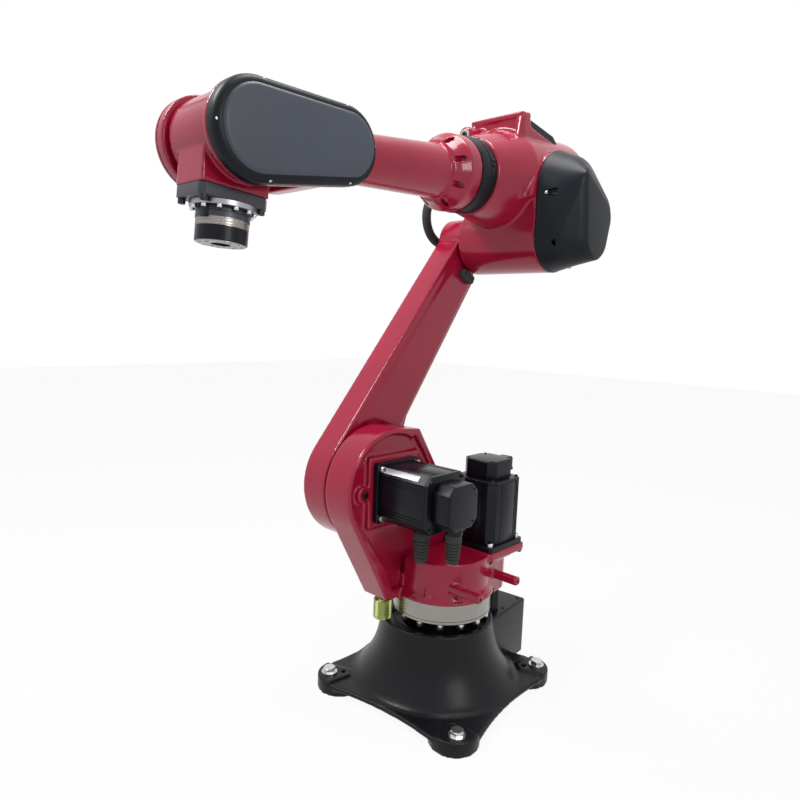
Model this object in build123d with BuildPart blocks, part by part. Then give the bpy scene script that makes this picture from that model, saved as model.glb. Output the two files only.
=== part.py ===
"""Six-axis industrial robot arm on a cast pedestal base.

Frame: +Z up, origin on the floor plane at the waist axis. +X is the way the arm reaches at rest,
+Y is the side of the shoulder motor and of the large motor cover. Sizes are millimetres.
"""

import os
from math import cos, radians, sin, sqrt

from build123d import *

os.makedirs("parts", exist_ok=True)

# Fits and clearances
RUN_GAP = 5.0  # free space between pieces that move past each other
SLIP = 0.3  # gap where a turning piece lies on its seat

# Pose of the photographed arm, built in as the rest pose
BASE_YAW = 5.3  # base turned about the waist axis
ARM_LEAN = 32.0  # upper arm leans back from upright
FOREARM_DIP = 5.0  # forearm points below level
TOOL_TILT = 5.0  # tool axis leans forward from straight down

# Joint layout
SHOULDER_X = 138.0
SHOULDER_Z = 468.0
ARM_LENGTH = 645.0  # shoulder axis to elbow axis
ELBOW_RISE = 128.0  # elbow axis to forearm axis
FOREARM_LENGTH = 748.0  # elbow axis line to wrist axis, along the forearm axis
TOOL_REACH = 156.0  # wrist axis to tool face

# Base
FOOT_SHIFT = 15.0  # foot pattern centre ahead of the waist axis
FOOT_PITCH = 340.0  # foot bolt to foot bolt
FOOT_BOSS_PITCH = 304.0
FOOT_BOSS_R = 51.0
FOOT_HOLE_R = 9.0
FOOT_PAD_R = 40.0  # raised pad round a foot bolt
FOOT_PAD_TIP_R = 13.0
FOOT_PAD_RISE = 5.0
JACK_HOLE_R = 5.0
JACK_HOLE_INSET = 32.0  # foot bolt to jacking screw, toward the waist
PLATE_UNDER = 16.0  # plate underside above the floor
PLATE_TOP = 26.0
CENTRE_PAD_R = 60.0  # machined pad under the waist axis, level with the feet
PLATE_SIZE = 402.0
PLATE_CORNER_R = 50.0
PLATE_EDGE = 189.0  # middle of a plate side from its centre
PLATE_BITE_R = 650.0  # hollow curve of a plate side
TRUMPET_AT = (9.0, -5.0)  # axis of the trumpet, a little ahead of the waist axis
TRUMPET = ((185.0, 28.0), (168.0, 46.0), (152.0, 70.0), (141.0, 93.0), (133.0, 121.0), (128.0, 146.0))
TRUMPET_TANGENTS = ((-1.0, 0.6), (-0.4, 1.0))
CONE_NECK_R = 124.0
CONE_TOP = 162.0
CHANNEL_R = 110.5
CHANNEL_DEPTH = 20.0
CORE_R = 84.0  # column inside the channel
RING_SEAT = 181.0
LUG_ANGLE = 157.0  # waist stop lug, from +X
LUG_R = 139.0
LUG_SIZE = (22.0, 16.0)
LUG_TOP = 196.0

# Cable box on the back of the base
BOX_FRONT = 114.0
BOX_BACK = 238.0
BOX_HALF = 92.0
BOX_UNDER = 8.0
BOX_TOP = 144.0
PANEL_SIZE = (96.0, 74.0)
PANEL_THICK = 4.0
PANEL_Z = 82.0
SOCKET_SIZE = (36.0, 52.0)
SOCKET_DEPTH = 24.0
SOCKET_PITCH = 46.0

# Waist reducer ring
RING_R = 110.0
RING_BORE_R = 70.0
RING_TOP = 211.0

# Turret
FLANGE_R = 114.0
FLANGE_BOTTOM = RING_TOP
FLANGE_TOP = 232.0
BARREL_R = 104.0
BARREL_TOP = 312.0
SHOULDER_R = 128.0
SHOULDER_FACE = -29.0  # y of the rim face on the motor side
SHOULDER_BACK = -103.0  # y of the face toward the upper arm
WEB_FOOT_FRONT = 147.0
WEB_FOOT_BACK = -78.0
WEB_BOTTOM = 221.0
WEB_REAR_TOP = (-58.0, 408.0)
WEB_REAR_SHOULDER = (62.0, 588.0)
RIM = 13.0
RECESS = 12.0
PAD_SIZE = 148.0
EAR_R = 17.0
EAR_OFFSET = 86.0
FOOT_ANGLE = -27.0  # where the web leaves the shoulder disc
RECESS_DROP = 40.0  # recess floor edge below the barrel top
PEDESTAL_R = 48.0
MOTOR_PLATE = 134.0
MOTOR_PLATE_TOP = 315.0
MOTOR_PLATE_THICK = 18.0

# Joint motors
MOTOR_FLANGE = 126.0
MOTOR_FLANGE_THICK = 12.0
MOTOR_BODY = 116.0
MOTOR_CHAMFER = 16.0
MOTOR_SCREW_R = 4.5
MOTOR_SCREW_PITCH = 102.0
ENCODER_SIZE = 88.0
ENCODER_CHAMFER = 18.0
ENCODER_EDGE = 3.0
WAIST_MOTOR_AT = (-105.0, 36.0)
WAIST_MOTOR_LENGTH = 157.0
WAIST_ENCODER_LENGTH = 42.0
SHOULDER_MOTOR_LENGTH = 140.0
SHOULDER_ENCODER_LENGTH = 44.0
BOOT_R = 17.0
BOOT_TIP_R = 10.0
BOOT_LENGTH = 66.0
WAIST_BOOT_DROP = 34.0
BODY_BOOT_BACK = 60.0  # power connector from the end of the motor body
SOCKET_R = 19.0
SOCKET_LENGTH = 16.0

# Waist stop pin and its sleeve
PIN_ANGLE = -28.0
PIN_R = 10.0
PIN_CIRCLE = 141.0
PIN_BOTTOM = CONE_TOP + RUN_GAP
SLEEVE_R = 20.0
SLEEVE_TOP = 211.0
SLEEVE_BOTTOM = CONE_TOP + RUN_GAP

# Bars for the hose carrier
BAR_SIDE = 18.0
BAR_CUT = 3.0
BAR_END = 155.0
BAR_Z = 262.0
BAR_PLACES = ((66.0, 50.0), (-70.0, 50.0))  # x of each bar and y of its root
BAR_HOLE_R = 3.3
BAR_HOLE_DEPTH = 18.0

# Upper arm
ARM_INNER = SHOULDER_BACK - RUN_GAP  # y of the face toward the turret
ARM_OUTER = -176.0
ARM_FOOT_R = 126.0
ARM_HEAD_R = 57.0
ARM_REAR_LOW = (-29.0, 177.0)
ARM_REAR_HIGH = (-53.0, 570.0)
ARM_FOOT_BACK = (-60.0, 40.0)
ARM_FRONT_LOW = (125.0, 16.0)
ARM_FRONT_HIGH = (48.0, 625.0)
BUMPER_SIZE = (46.0, 20.0)
BUMPER_THICK = 18.0
BUMPER_ANGLE = -66.0
SHOULDER_DISC_R = 112.0
FOOT_CAP_R = 84.0
FOOT_CAP_THICK = 10.0
HEAD_CAP_R = 40.0
HEAD_CAP_THICK = 10.0

# Elbow housing
HINGE_R = 78.0
ELBOW_INNER = ARM_INNER + 2 * RUN_GAP  # y of the face toward the upper arm
ELBOW_SIDE = ARM_INNER + RUN_GAP  # flat on the housing next to the upper arm
HINGE_OUTER = 108.0
HINGE_DISC_R = 52.0
BODY_R = 108.0
BODY_FRONT = 58.0
BODY_BACK = -158.0
NECK_R = 80.0
NECK_FRONT = 168.0
TOP_PAD_RISE = 136.0
TOP_PAD_HALF = 70.0
TOP_PAD_FRONT = 60.0
TOP_PAD_BACK = 34.0
TOP_SLOPE = ((28.0, 108.0), (-60.0, 86.0), (-112.0, 44.0), (-150.0, 0.0))  # housing top behind the pad
BACK_COVER_RISE = 14.0
BACK_COVER_HALF = 66.0
TOP_HOLE_R = 3.3
TOP_HOLE_DEPTH = 14.0
TOP_HOLE_PITCH = 110.0
COLLAR_R = 77.0
COLLAR_FRONT = 216.0
COVER_LOW_R = 78.0
COVER_HIGH = (-21.0, 92.0)  # centre of the upper round from the elbow axis
COVER_HIGH_R = 97.0
COVER_MID_Y = 160.0
MID_LOW = (-4.0, 2.0)
MID_LOW_R = 66.0
MID_HIGH = (-21.0, 84.0)
MID_HIGH_R = 84.0
COVER_FACE_Y = 202.0
FACE_ROUNDS = (((24.0, 114.0), 13.0), ((-48.0, 42.0), 44.0), ((-30.0, 0.0), 50.0))  # centre and radius
PLUG_R = 17.0
PLUG_AT = (112.0, 0.0, 82.0)  # along the forearm axis, y, above the axis
PLUG_LENGTH = 34.0
CONDUIT_R = 11.0
CONDUIT_LOOP_R = 62.0
CONDUIT_BEND = 16.0
CONDUIT_OUT = 24.0  # conduit centre outside the arm's outer face

# Forearm
FOREARM_FLANGE_BACK = COLLAR_FRONT + SLIP
FOREARM_FLANGE_R = 76.0
FOREARM_FLANGE_RIM = 34.0
TUBE_BACK_R = 52.0
TUBE_FRONT_R = 42.0
CONE_END = 288.0
TUBE_END = FOREARM_LENGTH - 188.0
YOKE_BACK = FOREARM_LENGTH - 208.0  # along the forearm, where the tube starts to widen into the fork
YOKE_FULL = FOREARM_LENGTH - 142.0
YOKE_HEIGHT = 124.0
YOKE_CLEAR_R = 128.0  # fork opening round the wrist axis
FAR_REAR = 104.0  # far cheek's rear round behind the wrist axis
FAR_REAR_R = 60.0
CHEEK_R = 73.0
CHEEK_INNER = 51.0
CHEEK_OUTER = 62.0
FAR_CHEEK_INNER = -62.0
FAR_CHEEK_OUTER = -81.0
BELT_REAR = 168.0  # belt housing's rear round behind the wrist axis
BELT_REAR_RISE = 0.0
BELT_REAR_R = 62.0
BELT_COVER_THICK = 26.0
BELT_COVER_EDGE = 9.0
FAR_CAP_R = 73.0
FAR_CAP_THICK = 9.0
FAR_CAP_ROUND = 8.0

# Wrist
WRIST_R = 66.0
WRIST_BOSS_R = 50.0  # bearing bosses against the fork cheeks
WRIST_INNER = CHEEK_INNER - RUN_GAP
WRIST_OUTER = FAR_CHEEK_INNER + RUN_GAP
WRIST_BLOCK = (112.0, 74.0)
WRIST_BLOCK_AT = 3.0  # block centre ahead of the tool axis
WRIST_BLOCK_RISE = 34.0
PLATE_BACK = 80.0  # tool distance of the flange plate's upper face
PLATE_FRONT = 98.0
TOOL_PLATE_SIZE = (114.0, 78.0)
TOOL_PLATE_CHAMFER = 9.0
TOOL_RING_R = 50.0
TOOL_RING_THICK = 8.0
REDUCER_R = 40.0
REDUCER_END = 121.0
BAND_R = 39.5
BAND_END = 133.0
TOOL_R = 39.0
TOOL_BORE_R = 15.0
TOOL_BORE_DEPTH = 10.0
TOOL_HOLES_PCD = 50.0
TOOL_HOLE_R = 3.0
TOOL_HOLE_DEPTH = 12.0

# Joint points worked out from the layout
LEAN = radians(ARM_LEAN)
DIP = radians(FOREARM_DIP)
TILT = radians(TOOL_TILT)
ELBOW_X = SHOULDER_X - ARM_LENGTH * sin(LEAN)
ELBOW_Z = SHOULDER_Z + ARM_LENGTH * cos(LEAN)
ROOT_X = ELBOW_X + ELBOW_RISE * sin(DIP)
ROOT_Z = ELBOW_Z + ELBOW_RISE * cos(DIP)
WRIST_X = ROOT_X + FOREARM_LENGTH * cos(DIP)
WRIST_Z = ROOT_Z - FOREARM_LENGTH * sin(DIP)

CONDUIT_Y = ARM_OUTER - CONDUIT_OUT
CONDUIT_TOP = ELBOW_Z + 2 * CONDUIT_LOOP_R
PAD_MIDDLE = (TOP_PAD_FRONT + TOP_PAD_BACK) / 2
JACK_PITCH = FOOT_PITCH - JACK_HOLE_INSET * sqrt(2)
PAD_TIP = JACK_PITCH / sqrt(2) - FOOT_PAD_TIP_R  # inner end of a foot pad on the diagonal
PAD_BOLT = FOOT_PITCH / sqrt(2)
PAD_SIDE_CUT = (
    (0, 0),
    (PAD_TIP, 0),
    (PAD_TIP, FOOT_PAD_TIP_R),
    (PAD_BOLT, FOOT_PAD_R),
    (PAD_BOLT, FOOT_PITCH / 2),
    (0, FOOT_PITCH / 2),
)
BASE = Plane.XY.rotated((0, 0, BASE_YAW))


def side(y, x=0.0, z=0.0):
    """Upright plane at y that faces away from the motors; local x forward, local y up."""
    return Plane(origin=(x, y, z), x_dir=(1, 0, 0), z_dir=(0, -1, 0))


def arm_side(y):
    """Upright plane at y on the shoulder axis; local y runs up the upper arm."""
    return Plane(origin=(SHOULDER_X, y, SHOULDER_Z), x_dir=(cos(LEAN), 0, sin(LEAN)), z_dir=(0, -1, 0))


def forearm_side(y):
    """Upright plane at y through the forearm axis; local x runs forward along the forearm."""
    return Plane(origin=(ROOT_X, y, ROOT_Z), x_dir=(cos(DIP), 0, -sin(DIP)), z_dir=(0, -1, 0))


def forearm_at(distance):
    """Plane square to the forearm axis; local x is +Y and local y is up."""
    origin = (ROOT_X + distance * cos(DIP), 0, ROOT_Z - distance * sin(DIP))
    return Plane(origin=origin, x_dir=(0, 1, 0), z_dir=(cos(DIP), 0, -sin(DIP)))


def tool_at(distance):
    """Plane square to the tool axis; local x is forward and local y is -Y."""
    origin = (WRIST_X + distance * sin(TILT), 0, WRIST_Z - distance * cos(TILT))
    return Plane(origin=origin, x_dir=(cos(TILT), 0, sin(TILT)), z_dir=(sin(TILT), 0, -cos(TILT)))


def wrist_side(y):
    """Upright plane at y on the wrist axis, turned with the forearm."""
    return Plane(origin=(WRIST_X, y, WRIST_Z), x_dir=(cos(DIP), 0, -sin(DIP)), z_dir=(0, -1, 0))


def round_point(radius):
    """Point on a circle about the shoulder axis where the web's front edge leaves it."""
    angle = radians(FOOT_ANGLE)
    return (SHOULDER_X + radius * cos(angle), SHOULDER_Z + radius * sin(angle))


def save(part, name):
    """Label a finished piece and write it to its own file."""
    part.part.label = name
    export_step(part.part, f"parts/{name}.step")


# Base casting: footed plate, trumpet column and the channel round the reducer seat
with BuildPart() as base_casting:
    with BuildSketch(BASE.offset(PLATE_UNDER)):
        with Locations((FOOT_SHIFT, 0)):
            RectangleRounded(PLATE_SIZE, PLATE_SIZE, PLATE_CORNER_R)
            with PolarLocations(PLATE_EDGE + PLATE_BITE_R, 4):
                Circle(PLATE_BITE_R, mode=Mode.SUBTRACT)
            with GridLocations(FOOT_BOSS_PITCH, FOOT_BOSS_PITCH, 2, 2):
                Circle(FOOT_BOSS_R)
    extrude(amount=PLATE_TOP - PLATE_UNDER)
    with BuildSketch(BASE):
        with Locations((FOOT_SHIFT, 0)):
            with GridLocations(FOOT_BOSS_PITCH, FOOT_BOSS_PITCH, 2, 2):
                Circle(FOOT_BOSS_R)
    extrude(amount=PLATE_TOP)
    with BuildSketch(BASE):
        Circle(CENTRE_PAD_R)
    extrude(amount=PLATE_TOP)
    with BuildSketch(BASE.offset(PLATE_TOP)):
        with Locations((FOOT_SHIFT, 0)):
            with PolarLocations(FOOT_BOSS_PITCH / sqrt(2), 4, start_angle=45):
                Circle(FOOT_BOSS_R)
            with PolarLocations(0, 4, start_angle=45):
                Polygon(*PAD_SIDE_CUT, align=None, mode=Mode.SUBTRACT)
                Polygon(*((x, -y) for x, y in PAD_SIDE_CUT), align=None, mode=Mode.SUBTRACT)
    extrude(amount=FOOT_PAD_RISE)
    trumpet_plane = Plane(origin=(*TRUMPET_AT, 0), x_dir=(1, 0, 0), z_dir=(0, -1, 0))
    with BuildSketch(trumpet_plane):
        with BuildLine():
            l1 = Line((0, PLATE_TOP), (TRUMPET[0][0], PLATE_TOP))
            l2 = Line(l1 @ 1, TRUMPET[0])
            l3 = Spline(*TRUMPET, (CONE_NECK_R, CONE_TOP), tangents=TRUMPET_TANGENTS)
            l4 = Line(l3 @ 1, (0, CONE_TOP))
            Line(l4 @ 1, l1 @ 0)
        make_face()
    revolve(axis=Axis(trumpet_plane.origin, (0, 0, 1)))
    with BuildSketch(Plane.XY.offset(CONE_TOP)):
        Circle(CHANNEL_R)
    extrude(amount=-CHANNEL_DEPTH, mode=Mode.SUBTRACT)
    with BuildSketch(Plane.XY.offset(CONE_TOP - CHANNEL_DEPTH)):
        Circle(CORE_R)
    extrude(amount=RING_SEAT - CONE_TOP + CHANNEL_DEPTH)
    with BuildSketch(Plane.XY.offset(CONE_TOP - CHANNEL_DEPTH)):
        with Locations(Location((0, 0, 0), (0, 0, LUG_ANGLE))):
            with Locations((LUG_R, 0)):
                Rectangle(*LUG_SIZE)
    extrude(amount=LUG_TOP - CONE_TOP + CHANNEL_DEPTH)
    with BuildSketch(Plane.XY.offset(PLATE_TOP)):
        with Locations(Location((0, 0, 0), (0, 0, LUG_ANGLE))):
            with Locations((CONE_NECK_R, 0)):
                Rectangle(2 * (LUG_R - CONE_NECK_R) + LUG_SIZE[0], LUG_SIZE[1])
    extrude(amount=CONE_TOP - CHANNEL_DEPTH - PLATE_TOP)
    with BuildSketch(BASE):
        with Locations((FOOT_SHIFT, 0)):
            with GridLocations(FOOT_PITCH, FOOT_PITCH, 2, 2):
                Circle(FOOT_HOLE_R)
            with GridLocations(JACK_PITCH, JACK_PITCH, 2, 2):
                Circle(JACK_HOLE_R)
    extrude(amount=PLATE_TOP + FOOT_PAD_RISE, mode=Mode.SUBTRACT)
save(base_casting, "base_casting")

# Cable box behind the trumpet, its panel and the two sockets on the panel
with BuildPart() as cable_box:
    with BuildSketch(BASE * Plane.XZ.offset(-BOX_HALF)):
        with BuildLine():
            Polyline(
                (-BOX_FRONT, BOX_UNDER),
                (-BOX_BACK, BOX_UNDER),
                (-BOX_BACK, BOX_TOP),
                (-BOX_FRONT, BOX_TOP),
                close=True,
            )
        make_face()
    extrude(amount=2 * BOX_HALF)
    fillet(cable_box.edges().group_by(Axis.Z)[-1], radius=5)
    add(base_casting.part, mode=Mode.SUBTRACT)
save(cable_box, "base_cable_box")

with BuildPart() as panel:
    with BuildSketch(BASE * Plane.YZ.offset(-BOX_BACK)):
        with Locations((0, PANEL_Z)):
            RectangleRounded(*PANEL_SIZE, 5)
    extrude(amount=-PANEL_THICK)
save(panel, "rear_connector_panel")

with BuildPart() as sockets:
    with BuildSketch(BASE * Plane.YZ.offset(-BOX_BACK - PANEL_THICK)):
        with Locations((0, PANEL_Z)):
            with GridLocations(SOCKET_PITCH, 0, 2, 1):
                RectangleRounded(*SOCKET_SIZE, 4)
    extrude(amount=-SOCKET_DEPTH)
save(sockets, "rear_sockets")

# Waist reducer: steel ring that carries the turret
with BuildPart() as waist_ring:
    with BuildSketch(Plane.XY.offset(RING_SEAT)):
        Circle(RING_R)
        Circle(RING_BORE_R, mode=Mode.SUBTRACT)
    extrude(amount=RING_TOP - RING_SEAT - SLIP)
    chamfer(waist_ring.edges().filter_by(GeomType.CIRCLE).group_by(Axis.Z)[0].sort_by(SortBy.RADIUS)[-1], 3)
save(waist_ring, "waist_reducer_ring")

# Turret casting: flange, barrel, shoulder disc on its web, motor pad, pedestal and motor plate
WEB_OUTLINE = (
    round_point(SHOULDER_R),
    (WEB_FOOT_FRONT, WEB_BOTTOM),
    (WEB_FOOT_BACK, WEB_BOTTOM),
    WEB_REAR_TOP,
    WEB_REAR_SHOULDER,
    (SHOULDER_X, SHOULDER_Z + SHOULDER_R),
)
with BuildPart() as turret:
    with BuildSketch(Plane.XY.offset(FLANGE_BOTTOM)):
        Circle(FLANGE_R)
    extrude(amount=FLANGE_TOP - FLANGE_BOTTOM)
    with BuildSketch(Plane.XY.offset(FLANGE_TOP)):
        Circle(BARREL_R)
    extrude(amount=BARREL_TOP - FLANGE_TOP)
    with BuildSketch(side(SHOULDER_FACE)):
        with Locations((SHOULDER_X, SHOULDER_Z)):
            Circle(SHOULDER_R)
        with BuildLine():
            Polyline(*WEB_OUTLINE, close=True)
        make_face()
    extrude(amount=SHOULDER_FACE - SHOULDER_BACK)
    with BuildSketch(side(SHOULDER_FACE)) as recess:
        with Locations((SHOULDER_X, SHOULDER_Z)):
            Circle(SHOULDER_R - RIM)
        with BuildLine():
            Polyline(
                round_point(SHOULDER_R - RIM),
                (WEB_FOOT_FRONT - RIM, BARREL_TOP - RECESS_DROP),
                (WEB_FOOT_BACK + RIM, BARREL_TOP - RECESS_DROP),
                (WEB_REAR_TOP[0] + RIM, WEB_REAR_TOP[1]),
                (WEB_REAR_SHOULDER[0] + RIM, WEB_REAR_SHOULDER[1] - RIM),
                close=True,
            )
        make_face()
        with Locations((SHOULDER_X, SHOULDER_Z)):
            RectangleRounded(PAD_SIZE, PAD_SIZE, 6, mode=Mode.SUBTRACT)
        with Locations((SHOULDER_X + EAR_OFFSET, SHOULDER_Z)):
            Circle(EAR_R, mode=Mode.SUBTRACT)
    extrude(amount=RECESS, mode=Mode.SUBTRACT)
    with BuildSketch(Plane.XY.offset(FLANGE_BOTTOM)):
        with Locations(WAIST_MOTOR_AT):
            Circle(PEDESTAL_R)
        with BuildLine():
            Polyline(
                (0, -PEDESTAL_R),
                (WAIST_MOTOR_AT[0], WAIST_MOTOR_AT[1] - PEDESTAL_R),
                (WAIST_MOTOR_AT[0], WAIST_MOTOR_AT[1] + PEDESTAL_R),
                (0, BARREL_R),
                close=True,
            )
        make_face()
    extrude(amount=MOTOR_PLATE_TOP - MOTOR_PLATE_THICK - FLANGE_BOTTOM)
    with BuildSketch(Plane.XY.offset(MOTOR_PLATE_TOP)):
        with Locations(WAIST_MOTOR_AT):
            RectangleRounded(MOTOR_PLATE, MOTOR_PLATE, 8)
    extrude(amount=-MOTOR_PLATE_THICK)
    for place, start in BAR_PLACES:
        bar_plane = Plane(origin=(place, start, BAR_Z), x_dir=(1, 0, 0), z_dir=(0, 1, 0))
        with BuildSketch(bar_plane) as bar_outline:
            Rectangle(BAR_SIDE, BAR_SIDE)
            chamfer(bar_outline.vertices(), BAR_CUT)
        extrude(amount=BAR_END - start)
        with BuildSketch(bar_plane.offset(BAR_END - start)):
            Circle(BAR_HOLE_R)
        extrude(amount=-BAR_HOLE_DEPTH, mode=Mode.SUBTRACT)
save(turret, "turret_casting")

with BuildPart() as shoulder_disc:
    with BuildSketch(side(SHOULDER_BACK)):
        with Locations((SHOULDER_X, SHOULDER_Z)):
            Circle(SHOULDER_DISC_R)
    extrude(amount=RUN_GAP - SLIP)
save(shoulder_disc, "shoulder_reducer_disc")


def motor_body(base_plane, length):
    """Servo motor body on a square flange, standing on base_plane."""
    with BuildPart() as body:
        with BuildSketch(base_plane):
            RectangleRounded(MOTOR_FLANGE, MOTOR_FLANGE, 8)
            with GridLocations(MOTOR_SCREW_PITCH, MOTOR_SCREW_PITCH, 2, 2):
                Circle(MOTOR_SCREW_R, mode=Mode.SUBTRACT)
        extrude(amount=MOTOR_FLANGE_THICK)
        with BuildSketch(base_plane.offset(MOTOR_FLANGE_THICK)) as outline:
            Rectangle(MOTOR_BODY, MOTOR_BODY)
            chamfer(outline.vertices(), MOTOR_CHAMFER)
        extrude(amount=length - MOTOR_FLANGE_THICK)
    return body


def encoder_cap(base_plane, length):
    """Encoder housing on the end of a motor."""
    with BuildPart() as cap:
        with BuildSketch(base_plane) as outline:
            Rectangle(ENCODER_SIZE, ENCODER_SIZE)
            chamfer(outline.vertices(), ENCODER_CHAMFER)
        extrude(amount=length)
        chamfer(cap.edges().group_by(Axis(base_plane.origin, base_plane.z_dir))[-1], ENCODER_EDGE)
    return cap


def boots(starts, direction, across):
    """Cable connectors: a socket and a tapering boot at each start point."""
    with BuildPart() as group:
        for start in starts:
            plane = Plane(origin=start, x_dir=across, z_dir=direction)
            with BuildSketch(plane):
                Circle(SOCKET_R)
            extrude(amount=SOCKET_LENGTH)
            with BuildSketch(plane.offset(SOCKET_LENGTH)):
                Circle(BOOT_R)
            with BuildSketch(plane.offset(SOCKET_LENGTH + BOOT_LENGTH)):
                Circle(BOOT_TIP_R)
            loft()
    return group


# Waist motor, upright on its plate
WAIST_MOTOR = Plane(origin=(*WAIST_MOTOR_AT, MOTOR_PLATE_TOP), x_dir=(1, 0, 0), z_dir=(0, 0, 1))
save(motor_body(WAIST_MOTOR, WAIST_MOTOR_LENGTH), "waist_motor_body")
save(encoder_cap(WAIST_MOTOR.offset(WAIST_MOTOR_LENGTH), WAIST_ENCODER_LENGTH), "waist_motor_encoder")
WAIST_REAR = WAIST_MOTOR_AT[0] - MOTOR_BODY / 2
WAIST_TOP = MOTOR_PLATE_TOP + WAIST_MOTOR_LENGTH

# Shoulder motor, level on the pad of the shoulder disc
SHOULDER_MOTOR = Plane(origin=(SHOULDER_X, SHOULDER_FACE, SHOULDER_Z), x_dir=(1, 0, 0), z_dir=(0, 1, 0))
save(motor_body(SHOULDER_MOTOR, SHOULDER_MOTOR_LENGTH), "shoulder_motor_body")
save(encoder_cap(SHOULDER_MOTOR.offset(SHOULDER_MOTOR_LENGTH), SHOULDER_ENCODER_LENGTH), "shoulder_motor_encoder")
SHOULDER_MOTOR_END = SHOULDER_FACE + SHOULDER_MOTOR_LENGTH

BOOT_DROP = SHOULDER_Z - MOTOR_BODY / 2
ENCODER_DROP = SHOULDER_Z - ENCODER_SIZE / 2
SHOULDER_BOOTS = (
    (SHOULDER_X, SHOULDER_MOTOR_END - BODY_BOOT_BACK, BOOT_DROP),
    (SHOULDER_X, SHOULDER_MOTOR_END + SHOULDER_ENCODER_LENGTH / 2, ENCODER_DROP),
)
save(boots(SHOULDER_BOOTS, (0, 0, -1), (1, 0, 0)), "shoulder_motor_connectors")
WAIST_BOOTS = (
    (WAIST_REAR, WAIST_MOTOR_AT[1], WAIST_TOP - WAIST_BOOT_DROP),
    (WAIST_MOTOR_AT[0] - ENCODER_SIZE / 2, WAIST_MOTOR_AT[1], WAIST_TOP + WAIST_ENCODER_LENGTH / 2),
)
save(boots(WAIST_BOOTS, (-1, 0, 0), (0, 1, 0)), "waist_motor_connectors")

# Waist stop: a pin under the turret's front corner in a soft sleeve
PIN_AT = (PIN_CIRCLE * cos(radians(PIN_ANGLE)), PIN_CIRCLE * sin(radians(PIN_ANGLE)))
with BuildPart() as stop_pin:
    with BuildSketch(Plane.XY.offset(PIN_BOTTOM)):
        with Locations(PIN_AT):
            Circle(PIN_R)
    extrude(amount=WEB_BOTTOM - PIN_BOTTOM)
save(stop_pin, "waist_stop_pin")
with BuildPart() as stop_sleeve:
    with BuildSketch(Plane.XY.offset(SLEEVE_BOTTOM)):
        with Locations(PIN_AT):
            Circle(SLEEVE_R)
            Circle(PIN_R, mode=Mode.SUBTRACT)
    extrude(amount=SLEEVE_TOP - SLEEVE_BOTTOM)
save(stop_sleeve, "waist_stop_sleeve")

# Upper arm: a leaning casting between the shoulder and elbow axes
with BuildPart() as upper_arm:
    with BuildSketch(arm_side(ARM_INNER)):
        Circle(ARM_FOOT_R)
        with Locations((0, ARM_LENGTH)):
            Circle(ARM_HEAD_R)
        with BuildLine():
            Polyline(
                ARM_FOOT_BACK,
                ARM_FRONT_LOW,
                ARM_FRONT_HIGH,
                (0, ARM_LENGTH),
                ARM_REAR_HIGH,
                ARM_REAR_LOW,
                close=True,
            )
        make_face()
    extrude(amount=ARM_INNER - ARM_OUTER)
save(upper_arm, "upper_arm_casting")

with BuildPart() as foot_cap:
    with BuildSketch(arm_side(ARM_OUTER)):
        Circle(FOOT_CAP_R)
    extrude(amount=FOOT_CAP_THICK)
    chamfer(foot_cap.edges().group_by(Axis.Y)[0], 3)
save(foot_cap, "arm_foot_cap")
with BuildPart() as head_cap:
    with BuildSketch(arm_side(ARM_OUTER)):
        with Locations((0, ARM_LENGTH)):
            Circle(HEAD_CAP_R)
            Circle(CONDUIT_R + RUN_GAP / 2, mode=Mode.SUBTRACT)
    extrude(amount=HEAD_CAP_THICK)
save(head_cap, "arm_head_cap")

with BuildPart() as bumper:
    bumper_r = HINGE_R + RUN_GAP + BUMPER_SIZE[1] / 2
    with BuildSketch(side(ARM_INNER + BUMPER_THICK, ELBOW_X, ELBOW_Z)):
        with PolarLocations(bumper_r, 1, start_angle=BUMPER_ANGLE):
            RectangleRounded(BUMPER_SIZE[1], BUMPER_SIZE[0], 4)
    extrude(amount=BUMPER_THICK)
save(bumper, "elbow_stop_bumper")

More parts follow.
